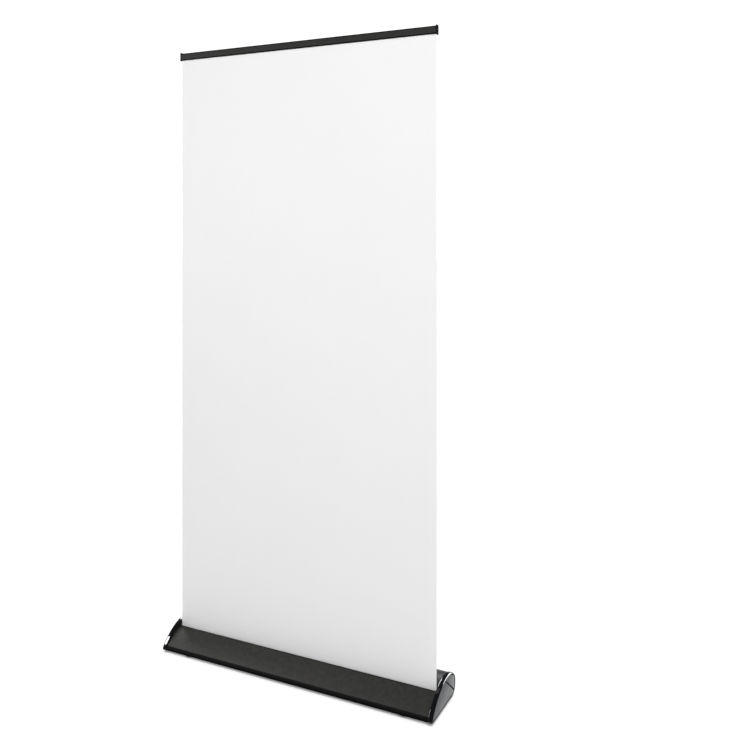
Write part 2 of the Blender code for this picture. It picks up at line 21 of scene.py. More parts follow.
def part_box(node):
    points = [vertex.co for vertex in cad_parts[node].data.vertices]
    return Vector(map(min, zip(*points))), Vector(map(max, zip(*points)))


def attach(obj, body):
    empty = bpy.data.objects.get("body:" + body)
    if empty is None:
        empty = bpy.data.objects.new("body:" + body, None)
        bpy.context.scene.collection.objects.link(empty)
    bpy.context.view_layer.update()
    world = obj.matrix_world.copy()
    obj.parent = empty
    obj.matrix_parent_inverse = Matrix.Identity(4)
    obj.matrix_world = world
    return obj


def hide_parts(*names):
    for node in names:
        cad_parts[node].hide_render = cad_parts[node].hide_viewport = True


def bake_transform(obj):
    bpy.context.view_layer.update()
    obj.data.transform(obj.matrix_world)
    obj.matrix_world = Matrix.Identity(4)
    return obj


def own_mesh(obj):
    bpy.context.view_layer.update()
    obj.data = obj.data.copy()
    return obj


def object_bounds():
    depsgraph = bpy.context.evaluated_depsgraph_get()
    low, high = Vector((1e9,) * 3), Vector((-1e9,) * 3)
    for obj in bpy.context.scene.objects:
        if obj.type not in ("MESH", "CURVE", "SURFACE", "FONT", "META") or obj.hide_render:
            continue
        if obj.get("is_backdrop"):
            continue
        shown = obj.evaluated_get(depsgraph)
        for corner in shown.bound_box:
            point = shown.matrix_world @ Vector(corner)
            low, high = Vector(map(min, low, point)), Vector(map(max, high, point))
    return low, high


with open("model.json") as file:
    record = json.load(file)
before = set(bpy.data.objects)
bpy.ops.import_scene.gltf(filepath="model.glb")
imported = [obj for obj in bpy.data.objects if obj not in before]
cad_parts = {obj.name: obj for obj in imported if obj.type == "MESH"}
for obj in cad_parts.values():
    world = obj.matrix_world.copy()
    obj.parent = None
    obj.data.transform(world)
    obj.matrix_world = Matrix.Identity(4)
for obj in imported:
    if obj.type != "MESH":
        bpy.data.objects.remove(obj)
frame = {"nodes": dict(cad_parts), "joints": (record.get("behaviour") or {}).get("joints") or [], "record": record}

LOG = logging.getLogger("banner_stand")

Point = tuple[float, float]
Colour = tuple[float, float, float]
Place = tuple[float, float, float]
Outline = list[Point]
Mesh = bmesh.types.BMesh
Object = bpy.types.Object
Material = bpy.types.Material
Node = bpy.types.Node
Tree = bpy.types.NodeTree
Socket = bpy.types.NodeSocket
Inputs = dict[str, Socket]

CLEARANCE = 0.0003
TEXTURE_SPAN = (0.3, 0.7)
SMOOTH_BELOW = math.radians(32)


class Side(Enum):
    """The two ends of the stand, seen from the front."""

    LEFT = -1
    RIGHT = 1

    @property
    def word(self) -> str:
        """Return the side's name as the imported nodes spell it."""
        return self.name.lower()


class Slot(Enum):
    """The record's material slots."""

    PANEL = "coated_panel"
    SHELL = "coated_shell"
    GLOSS = "gloss_cap"
    PLASTIC = "black_plastic"
    PLATE = "black_steel"
    ZINC = "zinc_steel"
    SPRING = "spring_steel"
    ALUMINIUM = "mill_aluminium"
    FILM = "white_film"
    RUBBER = "rubber"
    BUNGEE = "bungee"


# ---- outlines -----------------------------------------------------------------------------------
def arc(centre: Point, radius: float, start: float, end: float, count: int = 8) -> Outline:
    """Return points on a circle.

    Args:
        centre: the circle's centre.
        radius: its radius.
        start: the first angle, in degrees.
        end: the last angle, in degrees.
        count: how many steps to take.

    Returns:
        The points, both ends included.
    """
    angles = [math.radians(start + (end - start) * i / count) for i in range(count + 1)]
    return [(centre[0] + radius * math.cos(a), centre[1] + radius * math.sin(a)) for a in angles]


def cubic(p0: Point, p1: Point, p2: Point, p3: Point, count: int = 24) -> Outline:
    """Return points on a cubic curve.

    Args:
        p0: the curve's start.
        p1: the handle that it leaves towards.
        p2: the handle that it arrives from.
        p3: the curve's end.
        count: how many steps to take.

    Returns:
        The points without the last one, so that curves join up.
    """
    points = []
    for i in range(count):
        t = i / count
        weights = (1 - t) ** 3, 3 * t * (1 - t) ** 2, 3 * t * t * (1 - t), t ** 3
        points.append(tuple(sum(w * p[k] for w, p in zip(weights, (p0, p1, p2, p3))) for k in (0, 1)))
    return points


def shifted(points: Sequence[Point], distance: float, closed: bool = True) -> Outline:
    """Move a path to its left.

    Args:
        points: the path.
        distance: how far; below zero moves it to its right.
        closed: whether the path's ends meet.

    Returns:
        The moved path.
    """
    moved = []
    count = len(points)
    for i, (y, z) in enumerate(points):
        before = points[i - 1] if closed or i > 0 else points[i]
        after = points[(i + 1) % count] if closed or i < count - 1 else points[i]
        along = Vector((after[0] - before[0], after[1] - before[1])).normalized()
        moved.append((y - along.y * distance, z + along.x * distance))
    return moved


def bent_sheet(path: Sequence[Point], thickness: float) -> Outline:
    """Return the closed outline of a sheet that lies to the right of a path."""
    return list(path) + list(reversed(shifted(path, -thickness, closed=False)))


def rounded(corners: Sequence[tuple[float, float, float]], steps: int = 5) -> Outline:
    """Round each corner of a polygon to its own radius.

    Args:
        corners: (y, z, radius) for each corner in order.
        steps: how many steps each rounding takes.

    Returns:
        The closed outline.
    """
    outline: Outline = []
    count = len(corners)
    for i, (y, z, radius) in enumerate(corners):
        if radius <= 0:
            outline.append((y, z))
            continue
        here = Vector((y, z))
        back = (Vector(corners[i - 1][:2]) - here).normalized()
        ahead = (Vector(corners[(i + 1) % count][:2]) - here).normalized()
        half = back.angle(ahead) / 2
        centre = here + (back + ahead).normalized() * (radius / math.sin(half))
        first = here + back * (radius / math.tan(half)) - centre
        last = here + ahead * (radius / math.tan(half)) - centre
        start = math.atan2(first.y, first.x)
        turn = (math.atan2(last.y, last.x) - start + math.pi) % (2 * math.pi) - math.pi
        outline += arc(tuple(centre), radius, math.degrees(start), math.degrees(start + turn), steps)
    return outline


def scored(path: Sequence[Point], at: float, width: float, depth: float) -> Outline:
    """Cut a small groove into the left-hand face of a path.

    Args:
        path: the path to cut.
        at: the groove's middle, as a distance along the path.
        width: the groove's width.
        depth: the groove's depth.

    Returns:
        The path with the groove in it.
    """
    marks = [(at - width / 2, 0.0), (at - width / 4, depth), (at + width / 4, depth), (at + width / 2, 0.0)]
    result: Outline = []
    travelled = 0.0
    for here, there in zip(path, path[1:]):
        a, b = Vector(here), Vector(there)
        step = (b - a).length
        if not at - width / 2 < travelled < at + width / 2:
            result.append(tuple(here))
        along = (b - a).normalized()
        inward = Vector((along.y, -along.x))
        while marks and marks[0][0] <= travelled + step:
            distance, cut = marks.pop(0)
            result.append(tuple(a + along * (distance - travelled) + inward * cut))
        travelled += step
    result.append(tuple(path[-1]))
    return result


def circle(radii: Sequence[float], z: float) -> list[Vector]:
    """Return a level ring of evenly spaced points, one for each radius."""
    angles = [2 * math.pi * i / len(radii) for i in range(len(radii))]
    return [Vector((r * math.cos(a), r * math.sin(a), z)) for r, a in zip(radii, angles)]


# ---- meshes -------------------------------------------------------------------------------------
def closed_loft(rings: Sequence[Sequence[Vector]]) -> Mesh:
    """Return a closed mesh through rings of points that correspond one to one."""
    bm = bmesh.new()
    loops = [[bm.verts.new(p) for p in ring] for ring in rings]
    count = len(rings[0])
    for low, high in zip(loops, loops[1:]):
        for i in range(count):
            j = (i + 1) % count
            bm.faces.new((low[i], low[j], high[j], high[i]))
    bm.faces.new(list(reversed(loops[0])))
    bm.faces.new(loops[-1])
    bmesh.ops.recalc_face_normals(bm, faces=bm.faces)
    return bm


def swept_x(outline: Sequence[Point], x0: float, x1: float, datum: float,
            zone: Callable[[Vector], int] | None = None) -> Mesh:
    """Extrude an outline along X.

    Args:
        outline: the closed outline, counted from the film's plane.
        x0: one end.
        x1: the other end.
        datum: the film's plane.
        zone: gives the material index for a face from its middle; None keeps them all at zero.

    Returns:
        The closed mesh.
    """
    bm = closed_loft([[Vector((x, datum + y, z)) for y, z in outline] for x in (x0, x1)])
    if zone is not None:
        for face in bm.faces:
            face.material_index = zone(face.calc_center_median() - Vector((0, datum, 0)))
    return bm


def turned(profile: Sequence[Point], segments: int = 64, hollow: bool = False) -> Mesh:
    """Turn a profile about Z and give it a map that runs round it and along it.

    Args:
        profile: (radius, height) points.
        segments: how many steps to take round the axis.
        hollow: whether the profile is a closed loop, as for a tube.

    Returns:
        The closed mesh.
    """
    bm = bmesh.new()
    layer = bm.loops.layers.uv.new("UVMap")
    rings = [[bm.verts.new(p) for p in circle([radius] * segments, height)] for radius, height in profile]
    pairs = list(zip(range(len(profile)), range(1, len(profile))))
    if hollow:
        pairs.append((len(profile) - 1, 0))
    for low, high in pairs:
        for i in range(segments):
            j = (i + 1) % segments
            face = bm.faces.new((rings[low][i], rings[low][j], rings[high][j], rings[high][i]))
            corners = ((i, low), (i + 1, low), (i + 1, high), (i, high))
            for loop, (step, ring) in zip(face.loops, corners):
                loop[layer].uv = (step / segments, profile[ring][1])
    if not hollow:
        bm.faces.new(list(reversed(rings[0])))
        bm.faces.new(rings[-1])
    bmesh.ops.recalc_face_normals(bm, faces=bm.faces)
    return bm


@dataclass(frozen=True)
class Rounding:
    """How far the sharp edges of a piece are rounded."""

    width: float = 0.0004
    steps: int = 3
    above: float = math.radians(40)

    def apply(self, obj: Object) -> None:
        """Round an object's sharp edges."""
        bevel = obj.modifiers.new("rounded edges", "BEVEL")
        bevel.width = self.width
        bevel.segments = self.steps
        bevel.limit_method = "ANGLE"
        bevel.angle_limit = self.above
        bevel.harden_normals = True
        bevel.use_clamp_overlap = True
        settle(obj)


def settle(obj: Object) -> None:
    """Turn an object's modifiers into its mesh."""
    graph = bpy.context.evaluated_depsgraph_get()
    mesh = bpy.data.meshes.new_from_object(obj.evaluated_get(graph))
    worn_out = obj.data
    obj.modifiers.clear()
    obj.data = mesh
    name = worn_out.name
    bpy.data.meshes.remove(worn_out)
    mesh.name = name


def object_of(name: str, bm: Mesh, finishes: Sequence[Material],
              matrix: Matrix | None = None) -> Object:
    """Make an object from a mesh under construction.

    Args:
        name: the object's name.
        bm: the mesh, which is freed.
        finishes: its materials, in the order of its material indices.
        matrix: where it stands; None keeps it at the origin.

    Returns:
        The object, shaded smooth up to its sharp edges.
    """
    mesh = bpy.data.meshes.new(name)
    bm.to_mesh(mesh)
    bm.free()
    for finish in finishes:
        mesh.materials.append(finish)
    mesh.shade_smooth()
    mesh.set_sharp_from_angle(angle=SMOOTH_BELOW)
    obj = bpy.data.objects.new(name, mesh)
    bpy.context.scene.collection.objects.link(obj)
    if matrix is not None:
        obj.matrix_world = matrix
    return obj


def carve(obj: Object, bm: Mesh, operation: str = "DIFFERENCE",
          matrix: Matrix | None = None) -> None:
    """Cut or join an object with a helper mesh that stays out of the scene and passes on no UV map."""
    helper = object_of(f"{obj.name}_helper", bm, [], matrix)
    while helper.data.uv_layers:
        helper.data.uv_layers.remove(helper.data.uv_layers[0])
    step = obj.modifiers.new("carve", "BOOLEAN")
    step.operation = operation
    step.solver = "EXACT"
    step.object = helper
    settle(obj)
    bpy.data.objects.remove(helper, do_unlink=True)


# ---- shader wiring ------------------------------------------------------------------------------
class Wiring:
    """A node tree while it is being wired."""

    def __init__(self, tree: Tree) -> None:
        """Start on a tree."""
        self.tree = tree

    def feed(self, socket: Socket, value: object) -> None:
        """Link a socket to another one, or set its plain value."""
        if isinstance(value, Socket):
            self.tree.links.new(value, socket)
        elif isinstance(value, tuple) and len(value) == 3 and socket.type == "RGBA":
            socket.default_value = (*value, 1.0)
        else:
            socket.default_value = value

    def add(self, kind: str, inputs: dict[str | int, object] | None = None,
            **settings: object) -> Node:
        """Add a node.

        Args:
            kind: the node's type name.
            inputs: values or sockets by input name or number.
            settings: the node's own settings.

        Returns:
            The new node.
        """
        node = self.tree.nodes.new(kind)
        for key, value in settings.items():
            setattr(node, key, value)
        for key, value in (inputs or {}).items():
            self.feed(node.inputs[key], value)
        return node

    def maths(self, operation: str, a: object, b: object = 0.0, clamp: bool = False) -> Socket:
        """Return the result of a math node."""
        node = self.add("ShaderNodeMath", {0: a, 1: b}, operation=operation, use_clamp=clamp)
        return node.outputs[0]

    def remap(self, value: object, low: float, high: float, to_low: float = 0.0,
              to_high: float = 1.0) -> Socket:
        """Return a value stretched from one range to another, kept inside the second."""
        inputs = {"Value": value, "From Min": low, "From Max": high, "To Min": to_low, "To Max": to_high}
        return self.add("ShaderNodeMapRange", inputs).outputs["Result"]

    def mixed(self, share: object, first: object, second: object) -> Socket:
        """Return a mix of two colours."""
        node = self.add("ShaderNodeMix", data_type="RGBA")
        sockets = [s for s in node.inputs if s.type == "RGBA"]
        self.feed(node.inputs["Factor"], share)
        self.feed(sockets[0], first)
        self.feed(sockets[1], second)
        return next(s for s in node.outputs if s.type == "RGBA")

    def noise(self, place: object, scale: object, detail: object, **inputs: object) -> Socket:
        """Return a noise texture's value."""
        given = {"Vector": place, "Scale": scale, "Detail": detail, **inputs}
        return self.add("ShaderNodeTexNoise", given).outputs[0]

    def effect(self, tree: Tree, **inputs: object) -> Socket:
        """Place a shared effect with its own values and return what it puts out."""
        node = self.tree.nodes.new("ShaderNodeGroup")
        node.node_tree = tree
        for key, value in inputs.items():
            self.feed(node.inputs[key], value)
        return node.outputs[0]

    def emboss(self, shader: Node, height: object, strength: float, depth: float) -> None:
        """Raise and sink a shader's surface by a height."""
        bump = self.add("ShaderNodeBump", {"Height": height, "Strength": strength, "Distance": depth})
        self.feed(shader.inputs["Normal"], bump.outputs[0])

    def colour(self, shader: Node, share: object, first: object, second: object) -> None:
        """Colour a shader with a mix of two colours."""
        self.feed(shader.inputs["Base Color"], self.mixed(share, first, second))

    def roughen(self, shader: Node, source: object, low: float, high: float) -> None:
        """Let a shader's roughness follow a fine texture."""
        self.feed(shader.inputs["Roughness"], self.remap(source, *TEXTURE_SPAN, low, high))


class Effects:
    """The shared surface effects, each a node group that is built once."""

    def __init__(self) -> None:
        """Build every group."""
        self.grain = self._group("surface grain", "Height", self._grain, Scale=900.0, Detail=3.0)
        self.clouds = self._group("clouded tone", "Value", self._clouds, Scale=14.0, Contrast=1.0)
        self.streaks = self._group("drawn streaks", "Height", self._streaks, Scale=700.0, Run=0.01)
        self.wear = self._group("worn edges", "Mask", self._wear, Width=0.0008, Amount=0.5)
        self.dust = self._group("settled dust", "Mask", self._dust, Scale=60.0, Amount=0.1)
        self.weave = self._group("fine weave", "Height", self._weave, Threads=1600.0)
        self.braid = self._group("braided sleeve", "Height", self._braid, Strands=8.0, Pitch=0.006)

    @staticmethod
    def _group(name: str, output: str, build: Callable[[Wiring, Inputs], Socket], **inputs: float) -> Tree:
        """Make one group.

        Args:
            name: the group's name.
            output: the name of its number output.
            build: wires the inside and returns the socket that the output takes.
            inputs: its number inputs with their usual values.

        Returns:
            The group's node tree.
        """
        tree = bpy.data.node_groups.new(name, "ShaderNodeTree")
        for key, value in inputs.items():
            socket = tree.interface.new_socket(key, in_out="INPUT", socket_type="NodeSocketFloat")
            socket.default_value = value
        tree.interface.new_socket(output, in_out="OUTPUT", socket_type="NodeSocketFloat")
        wiring = Wiring(tree)
        entry = wiring.add("NodeGroupInput")
        leave = wiring.add("NodeGroupOutput")
        wiring.feed(leave.inputs[output], build(wiring, {key: entry.outputs[key] for key in inputs}))
        return tree

    @staticmethod
    def _place(w: Wiring) -> Socket:
        """Return the object's own coordinates."""
        return w.add("ShaderNodeTexCoord").outputs["Object"]

    @staticmethod
    def _grain(w: Wiring, given: Inputs) -> Socket:
        """Wire a fine even grain."""
        return w.noise(Effects._place(w), given["Scale"], given["Detail"], Roughness=0.55)

    @staticmethod
    def _clouds(w: Wiring, given: Inputs) -> Socket:
        """Wire soft blotches with a finer set inside them."""
        place = Effects._place(w)
        broad = w.noise(place, given["Scale"], 2.0)
        fine = w.noise(place, w.maths("MULTIPLY", given["Scale"], 5.5), 3.0)
        both = w.maths("ADD", w.maths("MULTIPLY", broad, 0.65), w.maths("MULTIPLY", fine, 0.35))
        gain = w.maths("MULTIPLY", given["Contrast"], 4.0)
        spread = w.maths("MULTIPLY", w.maths("SUBTRACT", both, 0.5), gain)
        return w.maths("ADD", spread, 0.5, clamp=True)

    @staticmethod
    def _streaks(w: Wiring, given: Inputs) -> Socket:
        """Wire fine lines that run along X, as a die leaves them."""
        run = w.add("ShaderNodeCombineXYZ", {0: given["Run"], 1: 1.0, 2: 1.0}).outputs[0]
        place = Effects._place(w)
        drawn = w.add("ShaderNodeVectorMath", {0: place, 1: run}, operation="MULTIPLY").outputs[0]
        return w.noise(drawn, given["Scale"], 2.0)

    @staticmethod
    def _wear(w: Wiring, given: Inputs) -> Socket:
        """Wire a broken-up mask over the edges."""
        soft = w.add("ShaderNodeBevel", {"Radius": given["Width"]}, samples=4).outputs[0]
        hard = w.add("ShaderNodeNewGeometry").outputs["Normal"]
        along = w.add("ShaderNodeVectorMath", {0: soft, 1: hard}, operation="DOT_PRODUCT").outputs["Value"]
        edge = w.remap(along, 0.995, 0.90)
        broken = w.remap(w.noise(Effects._place(w), 90.0, 4.0), 0.45, 0.65)
        return w.maths("MULTIPLY", w.maths("MULTIPLY", edge, broken), given["Amount"], clamp=True)

    @staticmethod
    def _dust(w: Wiring, given: Inputs) -> Socket:
        """Wire a thin speckle that lies on what faces up."""
        facing = w.add("ShaderNodeNewGeometry").outputs["Normal"]
        lying = w.remap(w.add("ShaderNodeSeparateXYZ", {0: facing}).outputs[2], 0.2, 1.0)
        speckle = w.remap(w.noise(Effects._place(w), given["Scale"], 6.0, Roughness=0.7), 0.42, 0.72)
        return w.maths("MULTIPLY", w.maths("MULTIPLY", lying, speckle), given["Amount"], clamp=True)

    @staticmethod
    def _weave(w: Wiring, given: Inputs) -> Socket:
        """Wire the crossing threads of a fine scrim."""
        parts = w.add("ShaderNodeSeparateXYZ", {0: Effects._place(w)})
        turns = w.maths("MULTIPLY", given["Threads"], 2 * math.pi)
        across = w.maths("SINE", w.maths("MULTIPLY", parts.outputs[0], turns))
        down = w.maths("SINE", w.maths("MULTIPLY", parts.outputs[2], turns))
        return w.maths("ADD", w.maths("MULTIPLY", w.maths("MULTIPLY", across, down), 0.5), 0.5)

    @staticmethod
    def _braid(w: Wiring, given: Inputs) -> Socket:
        """Wire two sets of strands that cross round a cord."""
        parts = w.add("ShaderNodeSeparateXYZ", {0: w.add("ShaderNodeTexCoord").outputs["UV"]})
        turns = w.maths("MULTIPLY", given["Strands"], 2 * math.pi)
        around = w.maths("MULTIPLY", parts.outputs[0], turns)
        along = w.maths("MULTIPLY", w.maths("DIVIDE", parts.outputs[1], given["Pitch"]), 2 * math.pi)
        one = w.maths("SINE", w.maths("ADD", around, along))
        other = w.maths("SINE", w.maths("SUBTRACT", around, along))
        return w.maths("MAXIMUM", one, other)


# ---- finishes -----------------------------------------------------------------------------------
@dataclass(frozen=True)
class Finish:
    """What every finish has: a name, a base colour and how rough and metallic it is."""

    name: str
    colour: Colour
    roughness: float
    metallic: float = 0.0
    level: float = 0.5

    def start(self) -> tuple[Material, Wiring, Node]:
        """Return a new material, its wiring and its shader with the plain values set."""
        mat = bpy.data.materials.new(self.name)
        mat.use_nodes = True
        wiring = Wiring(mat.node_tree)
        shader = mat.node_tree.nodes["Principled BSDF"]
        shader.inputs["Base Color"].default_value = (*self.colour, 1.0)
        shader.inputs["Roughness"].default_value = self.roughness
        shader.inputs["Metallic"].default_value = self.metallic
        shader.inputs["Specular IOR Level"].default_value = self.level
        return mat, wiring, shader

    def make(self, fx: Effects) -> Material:
        """Return the material."""
        mat, wiring, shader = self.start()
        self.dress(fx, wiring, shader)
        return mat

    def dress(self, fx: Effects, w: Wiring, shader: Node) -> None:
        """Wire the finish's own detail into its shader."""
        raise NotImplementedError

    def tinted(self, factor: float) -> Colour:
        """Return the base colour made lighter or darker."""
        return tuple(min(1.0, c * factor) for c in self.colour)


@dataclass(frozen=True)
class PowderCoat(Finish):
    """A baked powder coating: clouded tone, orange-peel grain and light wear on the edges."""

    contrast: float = 0.5
    cloud_scale: float = 14.0
    grain_scale: float = 1500.0
    grain_depth: float = 0.00004
    bare: Colour = (0.30, 0.30, 0.30)
    wear: float = 0.25
    dust: float = 0.05
    # Painted shade: between these two heights the coat goes from its own colour below to a lighter copy above, so
    # it is darker towards the bottom.
    heights: Point | None = None
    lighter: float = 8.0

    def dress(self, fx: Effects, w: Wiring, shader: Node) -> None:
        """Wire the finish's own detail into its shader."""
        clouds = w.effect(fx.clouds, Scale=self.cloud_scale, Contrast=self.contrast)
        toned = w.mixed(clouds, self.tinted(0.82), self.tinted(1.18))
        # Painted shade: darker below the first height, lighter by the given factor above the second.
        if self.heights is not None:
            place = w.add("ShaderNodeSeparateXYZ", {0: w.add("ShaderNodeTexCoord").outputs["Object"]})
            toned = w.mixed(w.remap(place.outputs[2], *self.heights), toned, self.tinted(self.lighter))
        worn = w.mixed(w.effect(fx.wear, Width=0.0007, Amount=self.wear), toned, self.bare)
        dusty = w.effect(fx.dust, Scale=70.0, Amount=self.dust)
        w.colour(shader, dusty, worn, (0.35, 0.34, 0.33))
        grain = w.effect(fx.grain, Scale=self.grain_scale, Detail=2.0)
        low, high = self.roughness - 0.05, self.roughness + 0.07
        w.feed(shader.inputs["Roughness"], w.remap(clouds, 0.0, 1.0, low, high))
        w.emboss(shader, grain, 0.5, self.grain_depth)


@dataclass(frozen=True)
class GlossMoulding(Finish):
    """High-gloss moulded plastic with the slight waves and handling haze of a real moulding."""

    haze: float = 0.06
    wave_depth: float = 0.0002
    dust: float = 0.03
    # A bluish cast on every reflection: painted colour of the light.
    tint: Colour = (0.92, 0.96, 1.0)

    def dress(self, fx: Effects, w: Wiring, shader: Node) -> None:
        """Wire the finish's own detail into its shader."""
        # Painted light: the reflections take a bluish cast.
        shader.inputs["Specular Tint"].default_value = (*self.tint, 1.0)
        smears = w.effect(fx.clouds, Scale=30.0, Contrast=0.8)
        hazed = w.remap(smears, 0.2, 1.0, self.roughness, self.roughness + self.haze)
        w.feed(shader.inputs["Roughness"], hazed)
        dusty = w.effect(fx.dust, Scale=160.0, Amount=self.dust)
        w.colour(shader, dusty, self.colour, (0.30, 0.30, 0.30))
        waves = w.effect(fx.grain, Scale=38.0, Detail=1.0)
        w.emboss(shader, waves, 0.25, self.wave_depth)


@dataclass(frozen=True)
class TexturedPlastic(Finish):
    """Moulded plastic with a fine spark-eroded texture, paler where it is handled."""

    texture_scale: float = 1100.0
    texture_depth: float = 0.00012
    scuff: float = 0.25

    def dress(self, fx: Effects, w: Wiring, shader: Node) -> None:
        """Wire the finish's own detail into its shader."""
        clouds = w.effect(fx.clouds, Scale=40.0, Contrast=0.6)
        toned = w.mixed(clouds, self.tinted(0.8), self.tinted(1.3))
        scuffed = w.effect(fx.wear, Width=0.0010, Amount=self.scuff)
        w.colour(shader, scuffed, toned, (0.12, 0.12, 0.12))
        texture = w.effect(fx.grain, Scale=self.texture_scale, Detail=4.0)
        w.roughen(shader, texture, self.roughness - 0.08, self.roughness + 0.10)
        w.emboss(shader, texture, 0.6, self.texture_depth)


@dataclass(frozen=True)
class DrawnMetal(Finish):
    """Bare metal with lines from drawing or rolling and a clouded film of oxide."""

    line_scale: float = 800.0
    line_depth: float = 0.00003
    oxide: float = 0.5

    def dress(self, fx: Effects, w: Wiring, shader: Node) -> None:
        """Wire the finish's own detail into its shader."""
        clouds = w.effect(fx.clouds, Scale=22.0, Contrast=self.oxide)
        lines = w.effect(fx.streaks, Scale=self.line_scale, Run=0.012)
        tone = w.maths("ADD", w.maths("MULTIPLY", clouds, 0.6), w.maths("MULTIPLY", lines, 0.4))
        w.colour(shader, tone, self.tinted(0.80), self.tinted(1.12))
        w.roughen(shader, lines, self.roughness - 0.06, self.roughness + 0.10)
        w.emboss(shader, lines, 0.4, self.line_depth)


@dataclass(frozen=True)
class BannerFilm(Finish):
    """Coated display film: a fine scrim under a matt coat, with faint handling clouds."""

    threads: float = 1500.0
    relief: float = 0.00003
    contrast: float = 0.25
    spread: float = 0.02

    def dress(self, fx: Effects, w: Wiring, shader: Node) -> None:
        """Wire the finish's own detail into its shader."""
        clouds = w.effect(fx.clouds, Scale=3.0, Contrast=self.contrast)
        w.colour(shader, clouds, self.tinted(1.0 - self.spread), self.tinted(1.0 + self.spread))
        scrim = w.effect(fx.weave, Threads=self.threads)
        grain = w.effect(fx.grain, Scale=600.0, Detail=3.0)
        height = w.maths("ADD", w.maths("MULTIPLY", scrim, 0.5), w.maths("MULTIPLY", grain, 0.5))
        w.roughen(shader, grain, self.roughness - 0.05, self.roughness + 0.08)
        w.emboss(shader, height, 0.3, self.relief)


@dataclass(frozen=True)
class Rubber(Finish):
    """Matt rubber with a bloom and a gritty surface."""

    def dress(self, fx: Effects, w: Wiring, shader: Node) -> None:
        """Wire the finish's own detail into its shader."""
        bloom = w.effect(fx.clouds, Scale=120.0, Contrast=0.8)
        w.colour(shader, bloom, self.tinted(0.7), self.tinted(1.8))
        grit = w.effect(fx.grain, Scale=1600.0, Detail=4.0)
        w.roughen(shader, grit, self.roughness - 0.08, 0.95)
        w.emboss(shader, grit, 0.6, 0.0001)


@dataclass(frozen=True)
class BraidedSleeve(Finish):
    """The braided sleeve of an elastic cord."""

    strands: float = 6.0
    pitch: float = 0.0060

    def dress(self, fx: Effects, w: Wiring, shader: Node) -> None:
        """Wire the finish's own detail into its shader."""
        braid = w.effect(fx.braid, Strands=self.strands, Pitch=self.pitch)
        w.colour(shader, w.remap(braid, 0.0, 1.0), self.tinted(0.35), self.tinted(1.6))
        fuzz = w.effect(fx.grain, Scale=2200.0, Detail=3.0)
        w.roughen(shader, fuzz, self.roughness - 0.1, 0.98)
        w.emboss(shader, braid, 0.8, 0.0004)


@dataclass(frozen=True)
class Pile(Finish):
    """A short black pile, as on the strip that a moving film brushes past."""

    def dress(self, fx: Effects, w: Wiring, shader: Node) -> None:
        """Wire the finish's own detail into its shader."""
        shader.inputs["Sheen Weight"].default_value = 0.2
        tufts = w.effect(fx.grain, Scale=3200.0, Detail=5.0)
        w.colour(shader, tufts, self.tinted(0.5), self.tinted(1.6))
        w.roughen(shader, tufts, 0.85, 1.0)
        w.emboss(shader, tufts, 1.0, 0.0005)


class FinishShelf:
    """Every material of the stand, made once."""

    def __init__(self, fx: Effects) -> None:
        """Make the materials that stand for the record's slots, and the ones for special faces."""
        slots = {
            Slot.PANEL: PowderCoat("matt_charcoal_coat", (0.032, 0.0315, 0.0292), 0.60, level=0.25),
            Slot.SHELL: PowderCoat("satin_charcoal_coat", (0.034, 0.035, 0.038), 0.36, contrast=0.25,
                                   cloud_scale=9.0, grain_depth=0.00002, wear=0.15),
            Slot.GLOSS: GlossMoulding("gloss_black_moulding", (0.004, 0.0045, 0.006), 0.06, level=0.50),
            Slot.PLASTIC: TexturedPlastic("textured_black_moulding", (0.016, 0.016, 0.016), 0.45),
            Slot.PLATE: PowderCoat("black_dipped_plate", (0.010, 0.010, 0.011), 0.42, wear=0.1),
            Slot.ZINC: DrawnMetal("zinc_plated_steel", (0.55, 0.56, 0.58), 0.34, 1.0, line_scale=300.0),
            Slot.SPRING: DrawnMetal("oiled_spring_wire", (0.24, 0.24, 0.25), 0.40, 1.0, line_scale=900.0),
            Slot.ALUMINIUM: DrawnMetal("plain_extruded_aluminium", (0.62, 0.63, 0.64), 0.40, 1.0),
            Slot.FILM: BannerFilm("white_film_face", (0.86, 0.86, 0.858), 0.60, level=0.15),
            Slot.RUBBER: Rubber("black_rubber", (0.018, 0.018, 0.018), 0.85),
            Slot.BUNGEE: BraidedSleeve("braided_elastic", (0.030, 0.030, 0.032), 0.85),
        }
        self.by_slot = {slot: finish.make(fx) for slot, finish in slots.items()}
        self.pole = PowderCoat("satin_black_pole", (0.020, 0.0203, 0.0215), 0.42, level=0.35, contrast=0.25,
                               cloud_scale=9.0, grain_depth=0.00002, wear=0.1).make(fx)
        self.film_back = BannerFilm("grey_blockout_back", (0.080, 0.084, 0.091), 0.62, level=0.15,
                                    contrast=0.5, spread=0.05).make(fx)
        self.film_edge = BannerFilm("cut_film_edge", (0.55, 0.55, 0.55), 0.70).make(fx)
        # The toe's near-black coat, darker towards the bottom, is painted shade where the panel turns under.
        self.toe = PowderCoat("toe_coat_painted_shade", (0.0022, 0.0022, 0.0022), 0.60, level=0.03, contrast=0.3,
                              wear=0.01, dust=0.0, heights=(0.0135, 0.0235), lighter=9.0).make(fx)
        self.rail = PowderCoat("dark_rail_coat", (0.027, 0.0265, 0.0255), 0.55, level=0.12).make(fx)
        # The near-black coat on the rail's rolled edges is painted shade along the top and bottom of the jaw.
        self.rail_edge = PowderCoat("rail_edge_painted_shade", (0.004, 0.004, 0.004), 0.55, level=0.03,
                                    wear=0.05).make(fx)
        # The cap face's lighter, bluer copy of the gloss moulding is a painted sheen standing in for its
        # reflections.
        self.hazed = GlossMoulding("cap_face_painted_sheen", (0.020, 0.022, 0.026), 0.07, level=0.55).make(fx)
        # The matt black for the cap's seam band, lip roll and channel is painted shade in those recesses.
        self.groove = TexturedPlastic("groove_painted_shade", (0.004, 0.004, 0.004), 0.75, level=0.15,
                                      scuff=0.0).make(fx)
        self.pile = Pile("black_pile", (0.010, 0.010, 0.010), 0.95).make(fx)

    def __getitem__(self, slot: Slot) -> Material:
        """Return the material of a slot."""
        return self.by_slot[slot]


